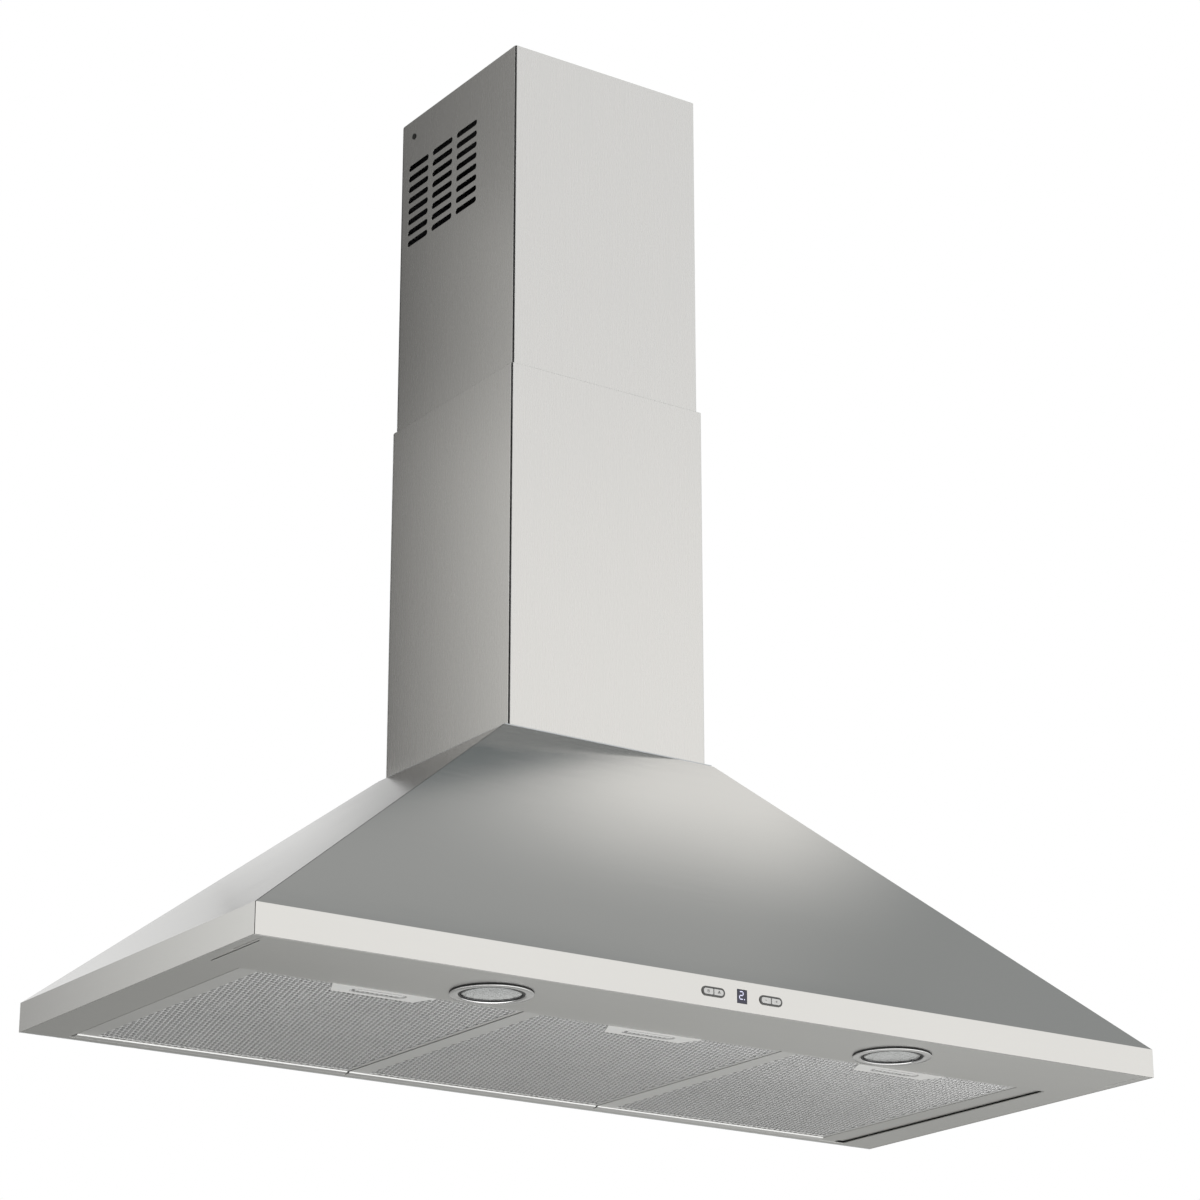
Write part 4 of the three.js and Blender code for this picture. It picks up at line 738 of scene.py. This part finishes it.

# ------------------------------------------------------------------ filter latches
# A flat dark plate slides in guides behind the face plate; its near-black tone is also painted shade for
# the hollow of the finger slot, where its light rib shows. A spring behind it keeps its tongue over the
# edge of the underside panel.

# Near-black plate: its own dark finish, made darker as painted shade for the finger slot it shows through.
latch_metal_and_slot_shade = rolled_aluminium("latch_metal_and_slot_shade", "X", (0.060, 0.060, 0.060), (0.035, 0.035, 0.035), 0.45)
grip_length = 44.0 * mm
grip_width = 3.3 * mm
grip_front = 7.2 * mm
grip_bottom = -200.7 * mm
grip_top = -199.4 * mm
grip_edge = 0.4 * mm
grip_place = (first_middle, first_low.y + grip_front + grip_width / 2, (grip_bottom + grip_top) / 2)
grip = long_round(grip_place, grip_length, grip_width, grip_top - grip_bottom, slot_sides)
bevelled(grip, grip_edge, 3)
for place in filter_places:
    dress("filter_latch_" + place, latch_metal_and_slot_shade, 0.0002)
    piece = copy_of(grip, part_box("filter_frame_" + place)[0] - first_low)
    settle(piece, "filter_grip_" + place, patch_aluminium, "latch_" + place, "bright_trim")
discard(grip)

# ------------------------------------------------------------------ lamps
# A halogen spot: a polished trim ring holds the domed glass, and behind it a faceted dish throws
# the light of a capsule bulb down on the hob. A zinc can closes the back.

lamp_sides = 96
lamp_base = -200.0 * mm
pole_radius = 0.0001


def turned(centre, profile, sides):
    """A body of revolution about a vertical axis: a circle extruded and scaled along its profile."""
    x, y = centre
    radius, height = profile[0]
    bpy.ops.object.select_all(action="DESELECT")
    bpy.ops.mesh.primitive_circle_add(vertices=sides, radius=radius, location=(x, y, height))
    piece = bpy.context.object
    bpy.ops.object.mode_set(mode="EDIT")
    bpy.ops.mesh.select_mode(type="VERT")
    bpy.ops.mesh.select_all(action="SELECT")
    for next_radius, next_height in profile[1:]:
        bpy.ops.mesh.extrude_region_move(
            TRANSFORM_OT_translate={"value": (0.0, 0.0, next_height - height)})
        share = next_radius / radius
        bpy.ops.transform.resize(value=(share, share, 1.0), center_override=(x, y, next_height))
        radius, height = next_radius, next_height
    bpy.ops.mesh.select_all(action="SELECT")
    bpy.ops.mesh.remove_doubles(threshold=2 * merge_reach)
    bpy.ops.mesh.normals_make_consistent(inside=False)
    bpy.ops.object.mode_set(mode="OBJECT")
    return piece


def in_metres(profile):
    """A profile written in mm from the underside panel's level, with a pole that isn't quite 0."""
    return [(max(radius, pole_radius) * mm, lamp_base + height * mm) for radius, height in profile]


def arc_points(centre, radius, start, end, steps):
    """Points of a round stretch of a profile, between two angles in degrees."""
    points = []
    for i in range(steps + 1):
        angle = math.radians(start + (end - start) * i / steps)
        points.append((centre[0] + radius * math.cos(angle), centre[1] + radius * math.sin(angle)))
    return points


def clouded(name, grains, dark, light, rough, rough_reach, detail=2.0, **more):
    """A finish whose colour and roughness follow one noise of that many grains a metre."""
    finish = Finish(name)
    cloud = finish.noise(grains, (1, 1, 1), detail)
    return finish.done(
        Base_Color=finish.mix(cloud, dark, light),
        Roughness=rough + cloud * rough_reach,
        **more)


bright_chrome = clouded("bright_chrome", 90.0, (0.70, 0.70, 0.70), (0.78, 0.78, 0.78), 0.12, 0.08,
                        detail=3.0, Metallic=1.0)
dish_mirror = clouded("dish_mirror", 220.0, (0.46, 0.46, 0.46), (0.58, 0.58, 0.58), 0.10, 0.06,
                      Metallic=1.0)
black_rubber = clouded("black_rubber", 200.0, (0.012, 0.012, 0.012), (0.022, 0.022, 0.022), 0.7, 0.1)
lamp_glass = clouded("lamp_glass", 60.0, (0.93, 0.95, 0.95), (0.97, 0.98, 0.98), 0.02, 0.03,
                     Transmission_Weight=1.0, IOR=1.46)

ring_profile = (
    [(30.7, -1.15), (33.4, -1.15)]
    + arc_points((33.4, -1.6), 0.45, 80, -80, 5)
    + [(31.5, -2.3), (28.8, -2.35), (27.4, -2.15), (26.7, -1.7), (26.5, -0.7), (29.5, -0.7), (29.5, 13.0),
       (30.7, 13.0), (30.7, -1.15)])
# A black rubber ring under the flange of the trim ring: its black is painted shade for the shadowed gap
# between the ring and the panel.
shade_gasket_profile = [(30.9, -1.1), (30.9, -0.25), (33.9, -0.25), (33.9, -1.1), (30.9, -1.1)]
seal_profile = [(24.9, -0.9), (25.1, -1.55), (25.6, -1.75), (26.3, -1.55), (26.4, -0.75), (24.9, -0.9)]
lens_profile = [(0.0, -1.9), (6.0, -1.85), (12.0, -1.7), (18.0, -1.4), (22.0, -1.1), (24.0, -0.8),
                (24.7, -0.4), (24.8, 1.4), (18.0, 1.0), (10.0, 0.6), (0.0, 0.5)]
dish_steps = 6
dish_inside = [(26.6 - 20.6 * i / dish_steps, 2.6 + 15.0 * math.sqrt(i / dish_steps))
               for i in range(dish_steps + 1)]
dish_outside = [(27.2 - 20.6 * i / dish_steps, 3.5 + 15.0 * math.sqrt(i / dish_steps))
                for i in range(dish_steps - 1, -1, -1)]
dish_profile = dish_inside + [(6.6, 18.4)] + dish_outside + dish_inside[:1]
bulb_profile = [(0.0, 11.7)] + arc_points((0.0, 15.7), 4.0, -80, 0, 7) + [(4.0, 25.7), (0.0, 25.7)]
ring_low, ring_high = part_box("lamp_ring_left")
first_centre = ((ring_low.x + ring_high.x) / 2, (ring_low.y + ring_high.y) / 2)
lamp_parts = [(part, turned(first_centre, in_metres(profile), sides), finish, slot, smooth)
              for part, profile, sides, finish, slot, smooth in (
                  ("ring", ring_profile, lamp_sides, bright_chrome, "bright_trim", smooth_angle),
                  ("lens", lens_profile, lamp_sides, lamp_glass, "lamp_glass", 40),
                  ("reflector", dish_profile, 20, dish_mirror, "reflector", 1),
                  ("bulb", bulb_profile, 32, lamp_glass, "lamp_glass", 40),
                  ("gasket", shade_gasket_profile, lamp_sides, black_rubber, "dark_plastic", smooth_angle),
                  ("seal", seal_profile, lamp_sides, black_rubber, "dark_plastic", smooth_angle))]
for place in ("left", "right"):
    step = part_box("lamp_ring_" + place)[0] - ring_low
    for part, model, finish, slot, smooth in lamp_parts:
        node = f"lamp_{part}_{place}"
        if part in ("gasket", "seal"):
            settle(copy_of(model, step), node, finish, "hood", slot, smooth=smooth)
        else:
            settle(copy_of(model, step), node + "_finished", finish, "hood", slot, node, smooth=smooth)
    dress("lamp_can_" + place, zinc_sheet)
discard(*(model for _, model, _, _, _ in lamp_parts))

# ------------------------------------------------------------------ push buttons
# Two dark-edged oval bezels sit in the rim, each with a pair of silver half-oval buttons. Thin dark
# signs are printed on them: a lamp and a fan on the left pair, less and more on the right pair.

button_low, button_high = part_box("button_light")
panel_height = (button_low.z + button_high.z) / 2
facing_front = (math.radians(90), 0.0, 0.0)
round_sides = 42

bezel_lacquer = clouded("bezel_lacquer", 150.0, (0.085, 0.085, 0.083), (0.13, 0.13, 0.127), 0.32, 0.1,
                        Metallic=0.5)
sign_ink = clouded("sign_ink", 500.0, (0.09, 0.09, 0.09), (0.14, 0.14, 0.14), 0.55, 0.1)
silver_finish = Finish("button_silver")
silver_cloud = silver_finish.noise(400.0, (1, 1, 1), 3.0)
button_silver = silver_finish.done(
    Base_Color=silver_finish.mix(silver_cloud, (0.56, 0.56, 0.55), (0.64, 0.64, 0.63)),
    Metallic=0.6,
    Roughness=0.30 + silver_cloud * 0.1,
    Normal=silver_finish.bump(silver_cloud, 0.00001))

bezel_length = 23.0 * mm
bezel_height = 8.0 * mm
bezel_rim = 1.2 * mm
bezel_proud = 0.7 * mm
bezel_edge = 0.25 * mm
neck_step = 2.0 * mm
neck_depth = 5.0 * mm
neck_middle = 2.2 * mm
bezel_cutter_depth = 20.0 * mm
rim_face = -400.0 * mm

bezel_low, bezel_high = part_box("control_bezel_left")
bezel_middle = (bezel_low.x + bezel_high.x) / 2
bezel = long_round((bezel_middle, rim_face - bezel_proud / 2, panel_height),
                   bezel_length, bezel_height, bezel_proud, round_sides, facing_front)
neck = long_round((bezel_middle, rim_face + neck_middle, panel_height),
                  bezel_length - neck_step, bezel_height - neck_step, neck_depth, round_sides, facing_front)
union = bezel.modifiers.new("union", "BOOLEAN")
union.operation = "UNION"
union.object = neck
apply_all(bezel)
discard(neck)
cut_out(bezel, long_round((bezel_middle, rim_face, panel_height), bezel_length - 2 * bezel_rim,
                          bezel_height - 2 * bezel_rim, bezel_cutter_depth, round_sides, facing_front))
bevelled(bezel, bezel_edge)
for place in ("left", "right"):
    node = "control_bezel_" + place
    piece = copy_of(bezel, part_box(node)[0] - bezel_low)
    settle(piece, node + "_finished", bezel_lacquer, "hood", "bright_trim", node)
discard(bezel)

sign_edge = 0.02 * mm
sign_flatness = 0.2


def sign_bar(centre, size, turn=0.0):
    bar = block(centre, size, (0.0, turn, 0.0))
    bevelled(bar, sign_edge, 1)
    return bar


def sign_ring(centre, radius, width):
    bpy.ops.object.select_all(action="DESELECT")
    bpy.ops.mesh.primitive_torus_add(
        location=centre, rotation=facing_front, major_segments=32, minor_segments=8,
        major_radius=radius, minor_radius=width / 2)
    ring = bpy.context.object
    bpy.ops.transform.resize(value=(1, sign_flatness, 1), center_override=centre)
    bpy.ops.object.transform_apply(location=True, rotation=True, scale=True)
    return ring


def sign_lamp(centre):
    return [sign_ring(centre, 1.15 * mm, 0.35 * mm), sign_ring(centre, 0.3 * mm, 0.4 * mm)]


def sign_fan(centre):
    reach = 0.85 * mm
    blades = [sign_ring(centre, 0.25 * mm, 0.35 * mm)]
    for turn in (90, 210, 330):
        angle = math.radians(turn)
        spot = (centre[0] + reach * math.cos(angle), centre[1], centre[2] + reach * math.sin(angle))
        blades.append(sign_ring(spot, 0.35 * mm, 0.5 * mm))
    return blades


stroke = (2.0 * mm, 0.06 * mm, 0.4 * mm)


def sign_less(centre):
    return [sign_bar(centre, stroke)]


def sign_more(centre):
    return [sign_bar(centre, stroke), sign_bar(centre, stroke, math.radians(90))]


def half_round(low, high, side):
    """The half of a block with round ends that lies on one side, -1 or 1, of its middle."""
    inner = high.x if side < 0 else low.x
    centre = (inner, (low.y + high.y) / 2, (low.z + high.z) / 2)
    button = long_round(
        centre, 2 * (high.x - low.x), high.z - low.z, high.y - low.y, round_sides, facing_front)
    bpy.ops.object.mode_set(mode="EDIT")
    bpy.ops.mesh.select_all(action="SELECT")
    bpy.ops.mesh.bisect(plane_co=(inner, 0, 0), plane_no=(side, 0, 0), use_fill=True, clear_inner=True)
    bpy.ops.object.mode_set(mode="OBJECT")
    bevelled(button, button_edge, 3)
    return button


button_edge = 0.45 * mm
sign_share = 0.52
sign_sink = 0.01 * mm
halves = {-1: half_round(*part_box("button_light"), -1), 1: half_round(*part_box("button_fan"), 1)}
half_low = {-1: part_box("button_light")[0], 1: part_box("button_fan")[0]}
for name, side, sign in (("button_light", -1, sign_lamp), ("button_fan", 1, sign_fan),
                         ("button_minus", -1, sign_less), ("button_plus", 1, sign_more)):
    low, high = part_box(name)
    button = copy_of(halves[side], low - half_low[side])
    settle(button, name + "_finished", button_silver, name, "button_plastic", name)
    inner = high.x if side < 0 else low.x
    sign_place = (inner + side * (high.x - low.x) * sign_share, low.y - sign_sink, (low.z + high.z) / 2)
    marks = sign(sign_place)
    only(*marks)
    if len(marks) > 1:
        bpy.ops.object.join()
    settle(bpy.context.object, name + "_sign", sign_ink, name, "dark_plastic")
discard(*halves.values())

# ------------------------------------------------------------------ display
# A dark navy window between the button pairs, with one lit digit for the fan speed and a lit dot.

display_navy = clouded("display_navy", 80.0, (0.006, 0.006, 0.030), (0.012, 0.011, 0.050), 0.12, 0.05,
                       Coat_Weight=0.5)
dress("display_window", display_navy, 0.0004, 3)

digit_finish = Finish("digit_glow")
digit_cloud = digit_finish.noise(300.0, (1, 1, 1), 1.0)
digit_glow = digit_finish.done(
    Base_Color=digit_finish.mix(digit_cloud, (0.55, 0.56, 0.72), (0.75, 0.76, 0.90)),
    Roughness=0.4,
    Emission_Color=(0.72, 0.74, 1.0),
    Emission_Strength=0.55)
display_low, display_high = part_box("display_window")
digit_width = 3.6 * mm
digit_height = 6.2 * mm
digit_left = 0.9 * mm
digit_rise = 0.8 * mm
digit_sink = 0.02 * mm
segment_width = 0.75 * mm
segment_depth = 0.05 * mm
dot_gap = 1.3 * mm
digit_centre = Vector(((display_low.x + display_high.x) / 2 - digit_left, display_low.y - digit_sink,
                       (display_low.z + display_high.z) / 2 + digit_rise))
segments = []
for level in (-1, 0, 1):
    middle = digit_centre + Vector((0, 0, level * digit_height / 2))
    segments.append(sign_bar(middle, (digit_width - segment_width, segment_depth, segment_width)))
for side, level in ((1, 1), (-1, -1)):
    middle = digit_centre + Vector((side * digit_width / 2, 0, level * digit_height / 4))
    segments.append(sign_bar(middle, (segment_width, segment_depth, digit_height / 2 - segment_width)))
dot_place = digit_centre + Vector((digit_width / 2 + dot_gap, 0, -digit_height / 2))
segments.append(sign_ring(dot_place, 0.25 * mm, 0.45 * mm))
only(*segments)
bpy.ops.object.join()
settle(bpy.context.object, "display_digit", digit_glow, "hood", "button_plastic")

# ------------------------------------------------------------------ button carrier and board
# Behind the rim a moulded carrier holds the bezels, and a green board with its switches and digit
# module stands behind it.

def moulded(name, colour, shade, rough):
    """Moulded plastic with a fine eroded grain."""
    finish = Finish(name)
    grain = finish.noise(900.0, (1, 1, 1), 2.0)
    cloud = finish.noise(20.0, (1, 1, 1), 2.0)
    return finish.done(
        Base_Color=finish.mix(cloud, shade, colour),
        Roughness=rough + grain * 0.12,
        Normal=finish.bump(grain, 0.00004))


black_plastic = moulded("black_plastic", (0.035, 0.035, 0.037), (0.022, 0.022, 0.024), 0.42)
green_board = moulded("green_board", (0.035, 0.13, 0.055), (0.025, 0.09, 0.04), 0.35)
dress("control_carrier", black_plastic, 0.0003)
dress("control_board", green_board, 0.0001)

# ------------------------------------------------------------------ chimney covers
# Two folded covers of brushed sheet, open to the wall, with a narrow return along each back edge.
# The upper one slides inside the lower, has three columns of eight vent slots in each side, and is
# held by a black screw on each side.

cover_wall = 1.0 * mm
cover_return = 12.0 * mm
back_radius = 8.0 * mm
front_radius = 2.2 * mm
fold_steps = 6


def folded_cover(half, front, back, bottom, top):
    """A box without back, floor or lid, with its two back edges turned in and its folds rounded."""
    cover = block((0, (front + back) / 2, (bottom + top) / 2), (2 * half, back - front, top - bottom))
    bpy.ops.object.mode_set(mode="EDIT")
    bpy.ops.mesh.select_mode(type="FACE")
    bpy.ops.mesh.select_all(action="DESELECT")
    bpy.ops.object.mode_set(mode="OBJECT")
    for face in cover.data.polygons:
        face.select = abs(face.normal.z) > 0.5 or face.normal.y > 0.5
    bpy.ops.object.mode_set(mode="EDIT")
    bpy.ops.mesh.delete(type="ONLY_FACE")
    bpy.ops.object.mode_set(mode="OBJECT")
    for side in (-1, 1):
        pick(cover, lambda place: place.y > back - cover_wall and side * place.x > half - cover_wall)
        bpy.ops.mesh.extrude_region_move(TRANSFORM_OT_translate={"value": (-side * cover_return, 0, 0)})
        bpy.ops.object.mode_set(mode="OBJECT")
    bpy.ops.object.mode_set(mode="EDIT")
    bpy.ops.mesh.select_all(action="SELECT")
    bpy.ops.mesh.remove_doubles(threshold=merge_reach)
    bpy.ops.object.mode_set(mode="OBJECT")
    for fold_y, radius in ((front, front_radius), (back, back_radius)):
        pick(cover, lambda place: abs(abs(place.x) - half) < hair and abs(place.y - fold_y) < hair)
        bpy.ops.mesh.bevel(offset=radius, segments=fold_steps, affect="EDGES")
        bpy.ops.object.mode_set(mode="OBJECT")
    bpy.ops.object.mode_set(mode="EDIT")
    bpy.ops.mesh.select_all(action="SELECT")
    bpy.ops.mesh.normals_make_consistent(inside=False)
    bpy.ops.object.mode_set(mode="OBJECT")
    wall = cover.modifiers.new("wall", "SOLIDIFY")
    wall.thickness = cover_wall
    wall.offset = -1.0
    apply_all(cover)
    return cover


chimney_steel = brushed("chimney_steel", "Z", wave=0.00015)
lower_edge = 0.4 * mm
upper_edge = 0.15 * mm
low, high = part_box("chimney_lower_cover")
lower_cover = folded_cover(high.x, low.y, high.y, low.z, high.z)
bevelled(lower_cover, lower_edge, 3)
settle(lower_cover, "chimney_lower_cover_finished", chimney_steel, "hood", "brushed_steel",
       "chimney_lower_cover")

vent_columns = 3
vent_rows = 8
vent_length = 35.5 * mm
vent_height = 6.0 * mm
vent_column_pitch = 43.0 * mm
vent_row_pitch = 11.4 * mm
vent_below_top = 51.0 * mm
vent_from_front = 66.0 * mm
vent_sides = 26
screw_hole_radius = 2.0 * mm
screw_from_back = 28.0 * mm
screw_below_top = 18.5 * mm
facing_side = (0.0, math.radians(90), 0.0)

low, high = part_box("chimney_upper_cover")
upper_cover = folded_cover(high.x, low.y, high.y, low.z, high.z)
across_cover = 2.2 * high.x
first_vent = (0.0, low.y + vent_from_front + vent_length / 2, high.z - vent_below_top)
vents = long_round(first_vent, vent_length, vent_height, across_cover, vent_sides, facing_side, 1)
in_a_row(vents, vent_rows, (0, 0, -vent_row_pitch))
in_a_row(vents, vent_columns, (0, vent_column_pitch, 0))
screw_place = (0.0, -screw_from_back, high.z - screw_below_top)
screw_hole = round_bar(screw_place, screw_hole_radius, across_cover, 24, facing_side)
only(vents, screw_hole)
bpy.ops.object.join()
cut_out(upper_cover, bpy.context.object)
bevelled(upper_cover, upper_edge)
settle(upper_cover, "chimney_upper_cover_finished", chimney_steel, "upper_cover", "brushed_steel",
       "chimney_upper_cover")

black_oxide = clouded("black_oxide", 300.0, (0.018, 0.018, 0.018), (0.035, 0.035, 0.034), 0.45, 0.1,
                      Metallic=0.6)
screw_head = 3.0 * mm
screw_rise = 0.8 * mm
screw_root = 2.0 * mm
screw_edge = 0.3 * mm
screw_out = high.x + (screw_rise - screw_root) / 2
screw = round_bar(screw_place, screw_head, screw_root + screw_rise, 32, facing_side)
bevelled(screw, screw_edge, 3)
for place, side in (("left", -1), ("right", 1)):
    piece = copy_of(screw, (side * screw_out, 0, 0))
    settle(piece, "cover_screw_" + place, black_oxide, "upper_cover", "dark_plastic")
discard(screw)

# ------------------------------------------------------------------ wall fixings
# Bent zinc-coated straps: one on the wall behind the top of the chimney, and two hooks that the
# back plate hangs on.

for node in ("chimney_wall_bracket", "wall_hook_left", "wall_hook_right"):
    dress(node, zinc_sheet)

# ------------------------------------------------------------------ air deflector
# A black moulded box hangs on the wall bracket behind the vent slots. The duct fits its round
# spigot, and its inner wall turns the air out to both sides.

deflector_end = 90.0 * mm
deflector_reach = 8.5 * mm
deflector_wall = 1.5 * mm
deflector = dress("air_deflector", black_plastic, 0.0005)
for side in (-1, 1):
    shift_part(deflector, lambda place: side * place.x > deflector_end - deflector_wall,
               (side * deflector_reach, 0, 0))
smooth_shaded(deflector)

# ------------------------------------------------------------------ blower
# A zinc-coated scroll with a bell inlet in each side, an aluminium squirrel-cage wheel, and a dark
# motor inside the wheel, held by a three-armed bracket.

wheel_aluminium = rolled_aluminium("wheel_aluminium", "X", (0.62, 0.63, 0.64), (0.52, 0.53, 0.54), 0.38)
motor_finish = Finish("motor_lacquer")
motor_cloud = motor_finish.noise(30.0, (1, 1, 1), 3.0)
motor_grain = motor_finish.noise(700.0, (1, 1, 1), 2.0)
motor_lacquer = motor_finish.done(
    Base_Color=motor_finish.mix(motor_cloud, (0.12, 0.125, 0.13), (0.19, 0.195, 0.20)),
    Metallic=0.4,
    Roughness=0.40 + motor_grain * 0.12,
    Normal=motor_finish.bump(motor_grain, 0.00003))
for node in ("blower_scroll", "blower_side_left", "blower_side_right"):
    dress(node, zinc_sheet, 0.0)
dress("blower_impeller", wheel_aluminium, 0.0)
dress("blower_motor", motor_lacquer, 0.0005)
dress("motor_bracket", zinc_sheet, 0.0003)

# ------------------------------------------------------------------ outlet and damper
# A moulded collar takes the duct. Two plastic flaps on a steel axle fall shut when the fan stops.

grey_plastic = moulded("grey_plastic", (0.23, 0.235, 0.24), (0.18, 0.185, 0.19), 0.40)
dress("outlet_collar", black_plastic, 0.0)
dress("damper_axle", zinc_sheet, 0.0)
dress("damper_flap_front", grey_plastic, 0.0002)
dress("damper_flap_rear", grey_plastic, 0.0002)

# ------------------------------------------------------------------ mains inlet
# A black box on the back plate holds the terminals, and a gland with its nut sits in the top plate.

dress("terminal_box", black_plastic, 0.0005)
dress("cable_gland", black_plastic, 0.0003)
dress("cable_gland_nut", black_plastic, 0.0003)
